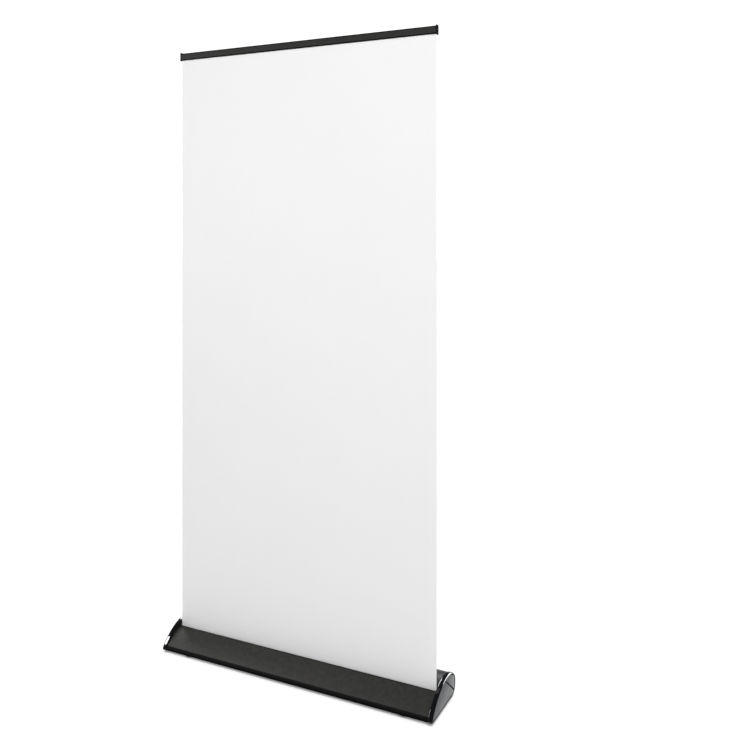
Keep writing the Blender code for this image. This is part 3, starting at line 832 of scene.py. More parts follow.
# ---- common ground of the sub-assemblies --------------------------------------------------------
@dataclass
class SubAssembly:
    """What every sub-assembly needs: the finishes, the film's plane and one way to hang a piece."""

    shelf: FinishShelf
    datum: float
    made: list[str] = field(default_factory=list, init=False)

    def hang(self, obj: Object, body: str, slot: Slot, nodes: Sequence[str] = ()) -> Object:
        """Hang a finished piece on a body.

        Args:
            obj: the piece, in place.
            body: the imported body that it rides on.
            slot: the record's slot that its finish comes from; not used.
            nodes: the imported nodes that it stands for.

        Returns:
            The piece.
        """
        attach(obj, body)
        if nodes:
            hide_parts(*nodes)
        self.made.append(obj.name)
        LOG.info("%s rides on %s, %d faces", obj.name, body, len(obj.data.polygons))
        return obj


# ---- base ---------------------------------------------------------------------------------------
@dataclass
class BaseHousing(SubAssembly):
    """The fixed shell of the base: front panel, rear shell and the pile strip at the slot."""

    wall: float = 0.0018
    underside: float = 0.0055
    toe_radius: float = 0.0040
    lip_radius: float = 0.0015
    # Below this height the toe takes the coat with painted shade.
    toe_shade_line: float = 0.0220
    toe_hem: float = 0.0072
    groove_width: float = 0.0012
    groove_depth: float = 0.0005
    groove_at: float = 0.0245
    slot_groove: tuple[float, float, float] = (0.0080, 0.0010, 0.0004)

    def span(self) -> tuple[float, float]:
        """Return where the extrusions start and end along X."""
        low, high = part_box("front_panel")
        return low.x, high.x

    def front_path(self) -> Outline:
        """Return the outer face of the front panel, from under the toe up to the slot."""
        path = [(-0.0670, self.toe_hem)]
        path += arc((-0.0765, self.toe_hem + self.toe_radius), self.toe_radius, 270, 180, 10)
        path += cubic((-0.0802, 0.0130), (-0.0660, 0.0340), (-0.0350, 0.0510), (-0.0045, 0.0605), 48)
        path += arc((-0.0052, 0.0590), self.lip_radius, 70, 0, 6)
        return path + [(-0.0037, 0.0540)]

    def rear_path(self) -> Outline:
        """Return the outer face of the rear shell, from the slot over the crest to the underside."""
        crest, rear = (0.0550, 0.0840), (0.1125, 0.0420)
        path = [(0.0040, 0.0560)] + arc((0.0055, 0.0612), self.lip_radius, 180, 125, 6)
        path += cubic((0.0060, 0.0638), (0.0200, 0.0735), (0.0360, crest[1]), crest, 30)
        path += cubic(crest, (0.0870, crest[1]), (rear[0], 0.0660), rear, 32)
        path += cubic(rear, (rear[0], 0.0240), (0.1070, self.underside), (0.0925, self.underside), 20)
        return path + [(0.0925, self.underside)]

    def front_panel(self) -> None:
        """Build the front panel: matt face, toe coloured with painted shade and a scored line between them."""
        x0, x1 = self.span()
        path = scored(self.front_path(), self.groove_at, self.groove_width, self.groove_depth)
        outline = bent_sheet(path, self.wall)

        def zone(middle: Vector) -> int:
            """Return 1 for the toe, whose darkness is painted shade, and 0 for the matt face."""
            return 1 if middle.z < self.toe_shade_line and middle.y < -0.060 else 0

        finishes = [self.shelf[Slot.PANEL], self.shelf.toe]
        panel = object_of("base_front_panel", swept_x(outline, x0, x1, self.datum, zone), finishes)
        Rounding(0.00015, 2).apply(panel)
        self.hang(panel, "base", Slot.PANEL, ["front_panel"])

    def rear_shell(self, pole: "PoleLine") -> None:
        """Build the rear shell with the hole that the pole's socket stands in."""
        x0, x1 = self.span()
        outline = bent_sheet(scored(self.rear_path(), *self.slot_groove), self.wall)
        shell = object_of("base_rear_shell", swept_x(outline, x0, x1, self.datum), [self.shelf[Slot.SHELL]])
        hole = pole.socket_radius + CLEARANCE
        carve(shell, turned([(hole, 0.045), (hole, 0.110)]), matrix=pole.matrix())
        Rounding(0.00015, 2).apply(shell)
        self.hang(shell, "base", Slot.SHELL, ["rear_shell"])

    def slot_strip(self) -> None:
        """Build the pile strip that the film brushes past."""
        low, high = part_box("slot_edging")
        y0, y1 = low.y - self.datum, high.y - self.datum
        corners = [(y0, low.z, 0.0002), (y1, low.z, 0.0002), (y1, high.z, 0.0005), (y0, high.z, 0.0005)]
        strip = object_of("slot_pile_strip", swept_x(rounded(corners), low.x, high.x, self.datum),
                          [self.shelf.pile])
        self.hang(strip, "base", Slot.PLASTIC, ["slot_edging"])

    def build(self, pole: "PoleLine") -> None:
        """Build the whole housing."""
        self.front_panel()
        self.rear_shell(pole)
        self.slot_strip()


@dataclass
class EndCaps(SubAssembly):
    """The two gloss mouldings that close the ends of the base."""

    wall: float = 0.0030
    lip_x: float = 0.5040
    lip_roll: float = 0.0030
    roll_steps: int = 6
    toe_radius: float = 0.0080
    toe_hem: float = 0.0055
    crest: Point = (0.0470, 0.0875)
    shoulder_arcs: tuple[Place, ...] = ((0.0060, 0, 30), (0.0085, 30, 52), (0.0009, 52, 90))
    shoulder_steps: int = 7
    shoulder_top: float = 0.0002
    channel: tuple[Point, ...] = ((0.0003, 0.0004), (0.0006, 0.0006), (0.0026, 0.0006), (0.0006, 0.0))
    crown: float = 0.0048
    front_chord: tuple[Point, Point] = ((-0.0830, 0.0380), (0.0300, 0.0840))
    front_reach: float = 0.0460
    rear_round: Place = (0.0470, 0.0350, 0.0620)
    rear_reach: float = 0.0280
    rear_share: float = 0.30
    seam_start: Point = (0.0408, 0.0693)
    seam_end: Point = (0.1067, 0.0114)
    seam_width: float = 0.0080
    seam_depth: float = 0.0014
    # Share of the seam's width that takes the painted shade.
    seam_shade_share: float = 0.36
    lip_share: float = 0.9
    face_rings: int = 48
    heart: Point = (0.0420, 0.0400)

    def outline(self) -> Outline:
        """Return the teardrop, clockwise from the toe as seen from +X."""
        toe_z = self.toe_hem + self.toe_radius
        front, rear, heel = -0.0830, (0.1155, 0.0420), (0.0940, 0.0030)
        points = arc((front + self.toe_radius, toe_z), self.toe_radius, 270, 180, 14)[:-1]
        points += cubic((front, toe_z), (-0.0720, 0.0360), (-0.0220, self.crest[1]), self.crest, 60)
        points += cubic(self.crest, (0.0850, self.crest[1]), (rear[0], 0.0680), rear, 40)
        points += cubic(rear, (rear[0], 0.0220), (0.1090, heel[1]), heel, 24)
        bottom = 48
        start = front + self.toe_radius
        hem = self.toe_hem - heel[1]
        return points + [(heel[0] + (start - heel[0]) * i / bottom, heel[1] + hem * i / bottom)
                         for i in range(bottom)]

    @staticmethod
    def beside(line: tuple[Point, Point], y: float, z: float) -> float:
        """Return how far a point lies from a line, to the left of it counted positive."""
        start, end = Vector(line[0]), Vector(line[1])
        along = (end - start).normalized()
        away = Vector((y, z)) - start
        return along.x * away.y - along.y * away.x

    @staticmethod
    def rolled_off(share: float) -> float:
        """Return how high a roll-off stands, from its edge at 0 to its end at 1."""
        return 1 - (1 - min(1.0, max(-0.2, share))) ** 2

    def relief(self, y: float, z: float) -> float:
        """Return how far the face stands out at a point.

        The face rolls off towards the front and a little towards the rear, and a soft groove runs across.

        Args:
            y: the point's place in front of the film or behind it.
            z: its height.

        Returns:
            The height of the surface over the lowest part of the face.
        """
        front = -self.beside(self.front_chord, y, z) / self.front_reach
        front = self.rolled_off(front)
        cy, cz, radius = self.rear_round
        rear = (radius - math.hypot(y - cy, z - cz)) / self.rear_reach
        rear = self.rolled_off(rear)
        near = abs(self.beside((self.seam_start, self.seam_end), y, z)) / (self.seam_width / 2)
        cut = self.seam_depth * (0.5 + 0.5 * math.cos(math.pi * near)) if near < 1 else 0.0
        rear = 1 - self.rear_share * (1 - rear) if y > 0 else 1.0
        return self.crown * front * rear - cut

    def shoulder_profile(self) -> Outline:
        """Return the shoulder from the rim to the face, as (into the outline, outwards) from its first point.

        A small round leads into a broad bevel, and the bevel ends in a small round at the channel.
        """
        into = out = 0.0
        profile = [(into, out)]
        for radius, start, end in self.shoulder_arcs:
            for i in range(self.shoulder_steps):
                a = math.radians(start + (end - start) * i / self.shoulder_steps)
                b = math.radians(start + (end - start) * (i + 1) / self.shoulder_steps)
                into += radius * (math.cos(a) - math.cos(b))
                out += radius * (math.sin(b) - math.sin(a))
                profile.append((into, out))
        return profile

    def mesh(self, side: Side) -> Mesh:
        """Return one cap: pocket, rim, bevelled shoulder and rolled-off face with its groove; the groove, the lip
        roll and the channel carry painted shade.
        """
        low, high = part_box(f"end_cap_{side.word}")
        outer = max(abs(low.x), abs(high.x))
        face_x = outer - self.crown
        rim = self.outline()
        count = len(rim)
        shoulder = self.shoulder_profile()
        top_into, top_out = shoulder[-1]
        border = shifted(rim, -top_into - sum(step for step, _ in self.channel))
        border_x = [face_x + self.relief(y, z) for y, z in border]
        bm = bmesh.new()

        def ring(points: Sequence[Point], xs: Sequence[float]) -> list[bmesh.types.BMVert]:
            """Add a ring of vertices, each with its distance from the middle of the stand."""
            return [bm.verts.new((side.value * x, self.datum + y, z)) for (y, z), x in zip(points, xs)]

        inside = shifted(rim, -self.wall)
        floor_x = face_x - self.wall
        pocket_floor = ring(inside, [floor_x] * count)
        rings = [pocket_floor, ring(inside, [self.lip_x] * count)]
        for k in range(self.roll_steps + 1):
            turn = math.radians(90 * k / self.roll_steps)
            into = self.wall * self.lip_share * (1 - math.sin(turn))
            x = self.lip_x + self.lip_roll * (1 - math.cos(turn))
            rings.append(ring(shifted(rim, -into), [x] * count))
        for into, out in shoulder:
            rings.append(ring(shifted(rim, -into), [outer - self.shoulder_top - top_out + out] * count))
        channel_start, into = len(rings) - 1, top_into
        for step, depth in self.channel:
            into += step
            rings.append(ring(shifted(rim, -into), [x - depth for x in border_x]))
        face_start = len(rings) - 1
        heart = self.heart
        for k in range(1, self.face_rings):
            share = k / self.face_rings
            points = [(y + (heart[0] - y) * share, z + (heart[1] - z) * share) for y, z in border]
            rings.append(ring(points, [face_x + self.relief(y, z) for y, z in points]))
        top = bm.verts.new((side.value * (face_x + self.relief(*heart)), self.datum + heart[0], heart[1]))
        floor_middle = bm.verts.new((side.value * floor_x, self.datum + heart[0], heart[1]))
        for number, (a, b) in enumerate(zip(rings, rings[1:])):
            for i in range(count):
                j = (i + 1) % count
                face = bm.faces.new((a[i], a[j], b[j], b[i]))
                middle = face.calc_center_median()
                away = abs(self.beside((self.seam_start, self.seam_end), middle.y - self.datum, middle.z))
                # The outer face takes the lighter copy, a painted sheen; the band along the seam takes the painted
                # shade.
                if number >= face_start:
                    face.material_index = 1 if away < self.seam_width * self.seam_shade_share else 2
                else:
                    # Lip roll and channel take the painted shade; the rest of the rim stays gloss.
                    face.material_index = int(channel_start <= number or number < self.roll_steps)
        for i in range(count):
            j = (i + 1) % count
            bm.faces.new((rings[-1][i], rings[-1][j], top)).material_index = 2
            bm.faces.new((pocket_floor[j], pocket_floor[i], floor_middle))
        bmesh.ops.recalc_face_normals(bm, faces=bm.faces)
        return bm

    def build(self) -> None:
        """Build both caps."""
        for side in Side:
            finishes = [self.shelf[Slot.GLOSS], self.shelf.groove, self.shelf.hazed]
            cap = object_of(f"cap_moulding_{side.word}", self.mesh(side), finishes)
            self.hang(cap, "base", Slot.GLOSS, [f"end_cap_{side.word}"])


# ---- film ---------------------------------------------------------------------------------------
@dataclass
class Film(SubAssembly):
    """The display film between the slot and the rail."""

    thickness: float = 0.0004
    columns: int = 90
    rows: int = 130
    curl: float = 0.0012
    curl_reach: float = 0.014
    ripple: float = 0.00035
    hold_power: float = 0.35
    edge_columns: int = 6

    def lean(self, x: float, z: float, low: Vector, high: Vector) -> float:
        """Return how far the film stands off its plane at a point."""
        length = high.z - low.z
        up = (z - low.z) / length
        hold = math.sin(math.pi * min(1.0, max(0.0, up))) ** self.hold_power
        near = max(0.0, 1 - (high.x - abs(x)) / self.curl_reach)
        waves = (math.sin(x * 9.0 + 1.3) + 0.6 * math.sin(x * 17.0 + z * 0.9)
                 + 0.4 * math.sin(x * 31.0 - z * 1.7))
        return hold * (self.curl * near * near + self.ripple * waves)

    def build(self) -> None:
        """Build the film as one closed thin sheet, white in front and grey behind."""
        low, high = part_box("banner_film")
        bm = bmesh.new()
        half = self.thickness / 2
        fine = [low.x + (high.x - low.x) * i / self.columns for i in range(self.columns + 1)]
        edges = [self.curl_reach * k / self.edge_columns for k in range(1, self.edge_columns)]
        xs = sorted(fine + [low.x + e for e in edges] + [high.x - e for e in edges])
        zs = [low.z + (high.z - low.z) * j / self.rows for j in range(self.rows + 1)]
        layers = []
        for offset in (-half, half):
            plane = self.datum + offset
            layers.append([[bm.verts.new((x, plane + self.lean(x, z, low, high), z)) for x in xs]
                           for z in zs])
        front, back = layers
        nx, nz = len(xs) - 1, len(zs) - 1
        for j in range(nz):
            for i in range(nx):
                bm.faces.new((front[j][i], front[j][i + 1], front[j + 1][i + 1], front[j + 1][i]))
                face = bm.faces.new((back[j][i], back[j + 1][i], back[j + 1][i + 1], back[j][i + 1]))
                face.material_index = 1
        border = [(0, i) for i in range(nx)] + [(j, nx) for j in range(nz)]
        border += [(nz, i) for i in range(nx, 0, -1)] + [(j, 0) for j in range(nz, 0, -1)]
        for (j, i), (l, k) in zip(border, border[1:] + border[:1]):
            face = bm.faces.new((front[j][i], back[j][i], back[l][k], front[l][k]))
            face.material_index = 2
        bmesh.ops.recalc_face_normals(bm, faces=bm.faces)
        finishes = [self.shelf[Slot.FILM], self.shelf.film_back, self.shelf.film_edge]
        film = object_of("display_film", bm, finishes)
        self.hang(film, "base", Slot.FILM, ["banner_film"])
        travel = next(j for j in frame["joints"] if j["name"] == "rail_travel")
        drop = -min(travel["range_m"])
        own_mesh(film)


# ---- rail ---------------------------------------------------------------------------------------
@dataclass
class ClampRail(SubAssembly):
    """The snap rail at the top: fixed spine, swinging jaw and two end mouldings."""

    front: float = -0.0065
    face_radius: float = 0.0036
    skin: float = 0.0018
    jaw_top_back: float = -0.0013
    jaw_foot_back: float = -0.0008
    jaw_foot: float = 0.0022
    web: Point = (0.0012, 0.0032)
    hook: Point = (-0.0010, 0.0092)
    hook_inner: float = 0.0072
    hook_low: float = 2.1270
    hook_top: float = 0.0025
    ledge: float = 0.0022
    end_corner: float = 0.0030

    def heights(self) -> tuple[float, float]:
        """Return the rail's underside and top."""
        low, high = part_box("rail_jaw")
        return low.z, high.z

    def jaw(self) -> None:
        """Build the front jaw, its face rolled over at the top and the bottom."""
        low, top = self.heights()
        x0, x1 = (corner.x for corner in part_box("rail_jaw"))
        inner = self.front + self.skin
        back, foot_back, foot = self.jaw_top_back, self.jaw_foot_back, low + self.jaw_foot
        corners = [(self.front, low, self.face_radius), (self.front, top, self.face_radius),
                   (back, top, 0.0004), (back, top - self.skin, 0.0003), (inner, top - self.skin, 0.0012),
                   (inner, foot, 0.0012), (foot_back, foot, 0.0003), (foot_back, low, 0.0006)]
        outline = rounded(corners, 8)

        def zone(middle: Vector) -> int:
            """Return 1 for the rolled edges, coloured with painted shade, and 0 for the flat face."""
            return int(min(middle.z - low, top - middle.z) < self.face_radius)

        finishes = [self.shelf.rail, self.shelf.rail_edge]
        jaw = object_of("rail_jaw_face", swept_x(outline, x0, x1, self.datum, zone), finishes)
        self.hang(jaw, "jaw", Slot.PANEL, ["rail_jaw"])

    def spine(self) -> None:
        """Build the fixed back with the channel that hooks over the pole's tongue."""
        low, top = self.heights()
        x0, x1 = (corner.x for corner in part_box("rail_back"))
        (face, back), (hook_front, hook_back) = self.web, self.hook
        flange, ledge = top - self.hook_top, top - self.ledge
        corners = [(face, low, 0.0005), (face, ledge, 0.0004), (hook_front, ledge, 0.0003),
                   (hook_front, top, 0.0004), (hook_back, top, 0.0016), (hook_back, self.hook_low, 0.0007),
                   (self.hook_inner, self.hook_low, 0.0007), (self.hook_inner, flange, 0.0006),
                   (back, flange, 0.0006), (back, low, 0.0005)]
        spine = object_of("rail_spine", swept_x(rounded(corners, 6), x0, x1, self.datum), [self.shelf.rail])
        self.hang(spine, "rail", Slot.PANEL, ["rail_back"])

    def end_mouldings(self) -> None:
        """Build the flared end pieces."""
        for side in Side:
            low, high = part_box(f"rail_cap_{side.word}")
            corner = self.end_corner
            y0, y1 = low.y - self.datum, high.y - self.datum
            corners = [(y0, low.z, corner), (y1, low.z, corner), (y1, high.z, corner), (y0, high.z, corner)]
            bm = swept_x(rounded(corners, 6), low.x, high.x, self.datum)
            cap = object_of(f"rail_end_{side.word}", bm, [self.shelf[Slot.GLOSS]])
            Rounding(0.0007, 4).apply(cap)
            self.hang(cap, "rail", Slot.GLOSS, [f"rail_cap_{side.word}"])

    def build(self) -> None:
        """Build the whole rail."""
        self.jaw()
        self.spine()
        self.end_mouldings()


# ---- pole ---------------------------------------------------------------------------------------
@dataclass
class PoleLine(SubAssembly):
    """The leaning bungee pole: socket, three sections, cord and head. Heights run up its own axis."""

    foot: Point = (0.0555, 0.0120)
    lean: float = math.radians(1.0)
    radius: float = 0.0080
    wall: float = 0.0010
    start: float = 0.0100
    section: float = 0.6950
    socket_radius: float = 0.0105
    socket_bore: float = 0.0084
    socket_top: float = 0.0765
    collar_radius: float = 0.0130
    collar_height: float = 0.0040
    ferrule_radius: float = 0.0066
    cord_radius: float = 0.0025
    head_half_width: float = 0.0100
    head_half_depth: float = 0.0085
    bridge: Point = (2.1153, 2.1245)
    tongue: Point = (-0.0150, -0.0120)
    tongue_top: float = 2.1360
    ferrule_reach: Point = (0.0400, 0.0500)
    plug_top: float = 0.0300
    tube_edge: float = 0.00035
    cord_share: float = 0.45
    cord_steps: int = 90

    SECTIONS = ("lower", "middle", "upper")

    def matrix(self) -> Matrix:
        """Return where the pole's own axis stands."""
        foot = Matrix.Translation((0, self.datum + self.foot[0], self.foot[1]))
        return foot @ Matrix.Rotation(self.lean, 4, "X")

    def along(self, z: float) -> float:
        """Return the distance up the pole's axis of a height above the floor."""
        return (z - self.foot[1]) / math.cos(self.lean)

    def section_start(self, index: int) -> float:
        """Return where a section starts along the axis."""
        return self.start + index * (self.section + CLEARANCE)

    def spigot(self) -> float:
        """Return the radius of a spigot that goes into a tube."""
        return self.radius - self.wall - CLEARANCE

    def on_axis(self, name: str, bm: Mesh, finish: Material) -> Object:
        """Return an object whose mesh is given in the pole's own axis."""
        return object_of(name, bm, [finish], self.matrix())

    def socket(self) -> None:
        """Build the socket and the collar that shows on top of the base."""
        top, collar = self.socket_top, self.collar_radius
        seat = top - self.collar_height
        profile = rounded([(self.socket_bore, -CLEARANCE, 0), (self.socket_bore, top, 0.0006),
                           (collar, top, 0.0014), (collar, seat, 0.0004),
                           (self.socket_radius, seat, 0), (self.socket_radius, -0.0025, 0.0005)], 4)
        piece = self.on_axis("pole_collar", turned(profile), self.shelf[Slot.PLASTIC])
        self.hang(piece, "base", Slot.PLASTIC, ["pole_socket"])

    def tubes(self) -> None:
        """Build the three tube sections with their rolled ends."""
        bore, edge = self.radius - self.wall, self.tube_edge
        for index, word in enumerate(self.SECTIONS):
            low = self.section_start(index)
            high = low + self.section
            profile = rounded([(self.radius, low, edge), (self.radius, high, edge), (bore, high, edge),
                               (bore, low, edge)], 4)
            tube = self.on_axis(f"pole_tube_{word}", turned(profile, hollow=True), self.shelf.pole)
            self.hang(tube, f"pole_{word}_section", Slot.SHELL, [f"pole_{word}"])

    def ferrules(self) -> None:
        """Build the two joining ferrules that the tubes slide over."""
        bore = self.ferrule_radius - self.wall
        for index, (word, body) in enumerate((("lower", "lower"), ("upper", "middle"))):
            joint = self.section_start(index + 1)
            low, high = joint - self.ferrule_reach[0], joint + self.ferrule_reach[1]
            profile = rounded([(self.ferrule_radius, low, 0.0003), (self.ferrule_radius, high, 0.0016),
                               (bore, high, 0.0002), (bore, low, 0.0002)], 4)
            ferrule = self.on_axis(f"ferrule_sleeve_{word}", turned(profile, hollow=True),
                                   self.shelf[Slot.ALUMINIUM])
            self.hang(ferrule, f"pole_{body}_section", Slot.ALUMINIUM, [f"pole_ferrule_{word}"])

    def cords(self) -> None:
        """Build the elastic cord across each joint."""
        reach, steps = self.section * self.cord_share, self.cord_steps
        joints = (("lower", "lower", "middle"), ("upper", "middle", "upper"))
        for index, (word, near, far) in enumerate(joints):
            joint = self.section_start(index + 1)
            low, high = joint - reach, joint + reach
            profile = [(self.cord_radius, low + (high - low) * i / steps) for i in range(steps + 1)]
            cord = self.on_axis(f"elastic_cord_{word}", turned(profile, 20), self.shelf[Slot.BUNGEE])
            ends = [self.matrix() @ Vector((0, 0, s)) for s in (low, high)]
            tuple(ends[0])
            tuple(ends[1])
            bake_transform(cord)
            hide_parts(f"bungee_{word}")
            LOG.info("%s stretches between the %s and %s sections", cord.name, near, far)

    def foot_plug(self) -> None:
        """Build the plug that closes the pole's foot."""
        spigot, shoulder = self.spigot(), self.start - CLEARANCE
        profile = rounded([(spigot, self.plug_top, 0.0008), (spigot, shoulder, 0),
                           (self.radius, shoulder, 0.0003), (self.radius, 0.0, 0.0012)], 4)
        plug = self.on_axis("foot_plug_moulding", turned(profile), self.shelf[Slot.PLASTIC])
        self.hang(plug, "pole_lower_section", Slot.PLASTIC, ["pole_foot_plug"])

    def head(self) -> None:
        """Build the head: round-topped block, bridge and the tongue that carries the rail."""
        low = self.section_start(2) + self.section + CLEARANCE
        front, back = -self.head_half_depth, self.head_half_depth
        top = self.along(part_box("pole_head")[1].z)
        bridge_low, bridge_top = (self.along(z) for z in self.bridge)
        tongue_top = self.along(self.tongue_top)
        tip, root = self.tongue
        side_view = [(back, low), (back, top), (front, top), (front, bridge_top), (root, bridge_top),
                     (root, tongue_top), (tip, tongue_top), (tip, bridge_low), (front, bridge_low),
                     (front, low)]
        half = self.head_half_width
        body = closed_loft([[Vector((x, y, z)) for y, z in side_view] for x in (-half, half)])
        head = self.on_axis("pole_head_moulding", body, self.shelf[Slot.PLASTIC])
        inside = half - 0.0001
        rear_view = [(-inside, low - 0.001), (inside, low - 0.001)]
        rear_view += arc((0, top - half), inside, 0, 180, 28)
        dome = closed_loft([[Vector((x, y, z)) for x, z in rear_view] for y in (-0.030, 0.030)])
        carve(head, dome, "INTERSECT", self.matrix())
        Rounding(0.0006, 3, math.radians(50)).apply(head)
        spigot = self.spigot()
        carve(head, turned([(spigot, low - 0.025), (spigot, low + 0.004)]), "UNION", self.matrix())
        self.hang(head, "pole_upper_section", Slot.PLASTIC, ["pole_head"])

    def build(self) -> None:
        """Build the whole pole."""
        self.socket()
        self.tubes()
        self.ferrules()
        self.cords()
        self.foot_plug()
        self.head()


# ---- feet ---------------------------------------------------------------------------------------
@dataclass
class LevellingFeet(SubAssembly):
    """The four rubber feet on threaded studs."""

    pitch: float = 0.0010
    thread_depth: float = 0.0005
    ribs: int = 3
    rib_start: float = 0.0012
    rib_pitch: float = 0.0024
    rib_height: float = 0.0007
    thread_segments: int = 28
    steps_per_turn: int = 8
    tip_chamfer: float = 0.0009

    def pad(self, name: str) -> Mesh:
        """Return a foot pad with grip rings under it, its base at the floor."""
        low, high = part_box(name)
        radius = (high.x - low.x) / 2
        top = high.z
        rise = self.rib_height
        profile = [(0.0008, rise)]
        for i in range(self.ribs):
            a = self.rib_start + i * self.rib_pitch
            profile += [(a, rise), (a + 0.0003, 0.0), (a + 0.0015, 0.0), (a + 0.0018, rise)]
        profile += [(radius - 0.0012, 0.0), (radius - 0.0003, 0.0004), (radius, 0.0013)]
        profile += arc((radius - 0.0006, top - 0.0006), 0.0006, 0, 90, 4)
        profile += [(0.0040, top), (0.0034, top - 0.0004), (0.0034, top - 0.0015)]
        return turned(profile, 56)

    def stud(self, name: str) -> Mesh:
        """Return a threaded stud."""
        low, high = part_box(name)
        radius = (high.x - low.x) / 2
        segments, step = self.thread_segments, self.pitch / self.steps_per_turn
        count = int((high.z - low.z - 0.001) / step)
        rings = []
        for k in range(count + 1):
            z = low.z + k * step
            ease = min(1.0, k / 6, (count - k) / 6)
            phases = [(z / self.pitch - i / segments) % 1.0 for i in range(segments)]
            rings.append(circle([radius - self.thread_depth * abs(2 * t - 1) * ease for t in phases], z))
        rings.append(circle([radius - self.tip_chamfer] * segments, high.z))
        return closed_loft(rings)

    def build(self) -> None:
        """Build the four feet."""
        for depth in ("front", "rear"):
            for side in Side:
                spot = f"{depth}_{side.word}"
                pad, stud = f"foot_pad_{spot}", f"foot_stud_{spot}"
                low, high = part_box(pad)
                place = Matrix.Translation(((low.x + high.x) / 2, (low.y + high.y) / 2, 0))
                body = f"foot_{spot}"
                piece = object_of(f"grip_pad_{spot}", self.pad(pad), [self.shelf[Slot.RUBBER]], place)
                self.hang(piece, body, Slot.RUBBER, [pad])
                piece = object_of(f"thread_stud_{spot}", self.stud(stud), [self.shelf[Slot.ZINC]], place)
                self.hang(piece, body, Slot.ZINC, [stud])


# ---- what stays as packed -----------------------------------------------------------------------
@dataclass
class PackedPieces(SubAssembly):
    """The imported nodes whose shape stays, mostly inside the base: each gets its finish."""

    def build(self) -> None:
        """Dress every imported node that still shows."""
        slots = {row["node"]: Slot(row["material_slot"]) for row in frame["record"]["subparts"]}
        for name, obj in frame["nodes"].items():
            if obj.hide_render:
                continue
            finish = self.shelf[slots[name]]
            obj.data.materials.clear()
            obj.data.materials.append(finish)
            self.made.append(name)
        LOG.info("%d packed nodes keep their shape and get a finish", len(self.made))


# ---- studio -------------------------------------------------------------------------------------
class Shows(Enum):
    """Where a softbox shows."""

    LIGHT_ONLY = (True, False)
    GLOSS_ONLY = (False, True)


@dataclass(frozen=True)
class Softbox:
    """One rectangular studio light; its first side lies along a given direction."""

    name: str
    place: Place
    aim: Place
    size: Point
    power: float
    shows: Shows
    along: Place = (0.0, 0.0, 1.0)

    def hang(self) -> None:
        """Put the light in the scene."""
        data = bpy.data.lights.new(self.name, "AREA")
        data.shape = "RECTANGLE"
        data.size, data.size_y = self.size
        data.energy = self.power
        lamp = bpy.data.objects.new(self.name, data)
        bpy.context.scene.collection.objects.link(lamp)
        back = (Vector(self.place) - Vector(self.aim)).normalized()
        across = back.cross(Vector(self.along)).normalized()
        turn = Matrix((across.cross(back), across, back)).transposed().to_4x4()
        lamp.matrix_world = Matrix.Translation(self.place) @ turn
        lamp.visible_diffuse, lamp.visible_glossy = self.shows.value


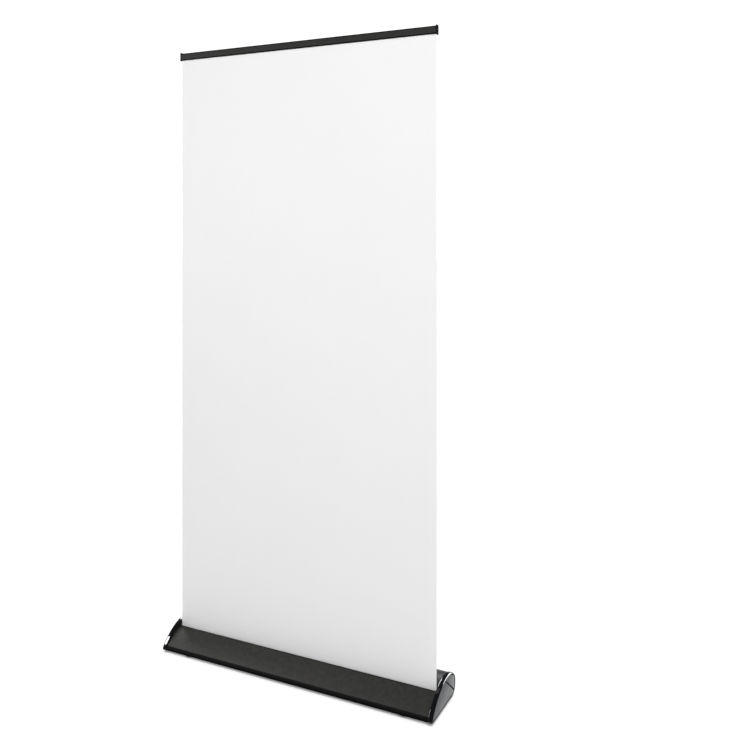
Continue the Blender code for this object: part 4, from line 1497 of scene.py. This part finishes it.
@dataclass
class Studio:
    """Pale floor, soft light and the camera."""

    floor_colour: Colour = (0.26, 0.26, 0.26)
    floor_glow: float = 0.88
    floor_reach: float = 0.011
    floor_half: float = 30.0
    fade: Point = (0.9, 1.8)
    white: float = 1.05
    sky: float = 0.80
    dark_side: float = 0.24
    reflected: float = 0.10
    camera_place: Place = (1.4391, -2.2973, 1.5145)
    camera_turn: float = 0.4178
    camera_lens: float = 37.88
    camera_shift: Point = (-0.0533, -0.1989)

    SOFTBOXES = (
        Softbox("front key", (0.9, -3.7, 2.9), (0.1, 0.0, 1.2), (1.6, 2.4), 79.0, Shows.LIGHT_ONLY),
        Softbox("rear top", (0.6, 2.6, 2.8), (0.0, 0.1, 0.8), (1.4, 2.6), 40.0, Shows.LIGHT_ONLY),
        Softbox("toe glint", (-2.165, -1.48, 1.78), (-0.51, -0.08, 0.035), (0.85, 0.6), 62.0,
                Shows.GLOSS_ONLY, (0.0, 0.745, 0.834)),
        Softbox("shoulder sheen", (1.62, 2.09, 0.98), (0.51, 0.04, 0.08), (2.4, 0.9), 110.0,
                Shows.GLOSS_ONLY, (0.45, -0.43, 0.456)),
        Softbox("shell sheen", (-1.6, 1.5, 1.9), (0.4, 0.05, 0.1), (1.6, 1.6), 150.0, Shows.GLOSS_ONLY),
    )

    def floor(self) -> None:
        """Lay a pale floor: lit and glowing near the stand, the glow fading to a painted contact shadow where the
        stand is close, and an even white further away as a studio sweep is.
        """
        bm = bmesh.new()
        half = self.floor_half
        around = ((-half, -half, 0), (half, -half, 0), (half, half, 0), (-half, half, 0))
        bm.faces.new([bm.verts.new(p) for p in around])
        mat = bpy.data.materials.new("pale_floor")
        mat.use_nodes = True
        w = Wiring(mat.node_tree)
        shader = mat.node_tree.nodes["Principled BSDF"]
        place = w.add("ShaderNodeTexCoord").outputs["Object"]
        dim = tuple(c * 0.99 for c in self.floor_colour)
        w.colour(shader, w.noise(place, 3.0, 4.0), dim, self.floor_colour)
        shader.inputs["Roughness"].default_value = 0.85
        shader.inputs["Specular IOR Level"].default_value = 0.1
        # The floor glows, though it is no lamp, and the occlusion mask below fades the glow to black close to the
        # stand: a painted contact shadow.
        shader.inputs["Emission Strength"].default_value = self.floor_glow
        near = w.add("ShaderNodeAmbientOcclusion", {"Distance": self.floor_reach}, samples=12)
        shadow_free_share = w.remap(near.outputs["AO"], 0.25, 0.75)
        w.feed(shader.inputs["Emission Color"], w.mixed(shadow_free_share, (0.0, 0.0, 0.0), (1.0, 1.0, 1.0)))
        away = w.add("ShaderNodeVectorMath", {0: place}, operation="LENGTH").outputs["Value"]
        white = w.add("ShaderNodeEmission", {"Color": (1.0, 1.0, 1.0), "Strength": self.white}).outputs[0]
        seen = w.add("ShaderNodeLightPath").outputs["Is Camera Ray"]
        share = w.maths("MULTIPLY", w.remap(away, *self.fade), seen)
        sweep = w.add("ShaderNodeMixShader", {0: share, 1: shader.outputs[0], 2: white}).outputs[0]
        w.feed(mat.node_tree.nodes["Material Output"].inputs["Surface"], sweep)
        object_of("studio_floor", bm, [mat])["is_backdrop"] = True

    def surroundings(self) -> None:
        """Light the room: white to the eye, bright behind the stand and dim in front of it."""
        world = bpy.data.worlds.new("studio")
        bpy.context.scene.world = world
        world.use_nodes = True
        w = Wiring(world.node_tree)
        ground = world.node_tree.nodes["Background"]
        way = w.add("ShaderNodeSeparateXYZ", {0: w.add("ShaderNodeTexCoord").outputs["Generated"]})
        path = w.add("ShaderNodeLightPath")
        rear = w.remap(way.outputs[1], 0.0, 0.7, self.dark_side, self.sky)
        fill = w.maths("MULTIPLY", path.outputs["Is Diffuse Ray"], rear)
        shown = w.maths("ADD", w.maths("MULTIPLY", path.outputs["Is Camera Ray"], self.white),
                        w.maths("MAXIMUM", fill, self.reflected))
        w.feed(ground.inputs["Color"], (1.0, 1.0, 1.0))
        w.feed(ground.inputs["Strength"], shown)

    def camera(self) -> None:
        """Set up the camera, level, with its frame shifted down to the stand."""
        data = bpy.data.cameras.new("studio camera")
        data.sensor_width = 36.0
        data.lens = self.camera_lens
        data.shift_x, data.shift_y = self.camera_shift
        data.clip_end = 200.0
        cam = bpy.data.objects.new("studio camera", data)
        bpy.context.scene.collection.objects.link(cam)
        cam.location = self.camera_place
        cam.rotation_euler = (math.radians(90), 0.0, self.camera_turn)
        bpy.context.scene.camera = cam

    def build(self) -> None:
        """Set up the whole studio."""
        bpy.context.scene.view_settings.view_transform = "Standard"
        self.floor()
        self.surroundings()
        self.camera()
        for softbox in self.SOFTBOXES:
            softbox.hang()
        LOG.info("studio with %d softboxes", len(self.SOFTBOXES))


def corners(box: tuple[Vector, Vector]) -> list[list[float]]:
    """Return a box as plain lists of numbers."""
    return [[float(v) for v in corner] for corner in box]


def main() -> None:
    """Build the studio and every sub-assembly."""
    logging.basicConfig(level=logging.INFO, format="%(name)s: %(message)s")
    packed = corners(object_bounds())
    Studio().build()
    shelf = FinishShelf(Effects())
    low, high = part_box("banner_film")
    datum = (low.y + high.y) / 2
    pole = PoleLine(shelf, datum)
    BaseHousing(shelf, datum).build(pole)
    EndCaps(shelf, datum).build()
    ClampRail(shelf, datum).build()
    Film(shelf, datum).build()
    pole.build()
    LevellingFeet(shelf, datum).build()
    PackedPieces(shelf, datum).build()
    {"packed": packed, "visual": corners(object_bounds())}


if __name__ == "__main__":
    main()
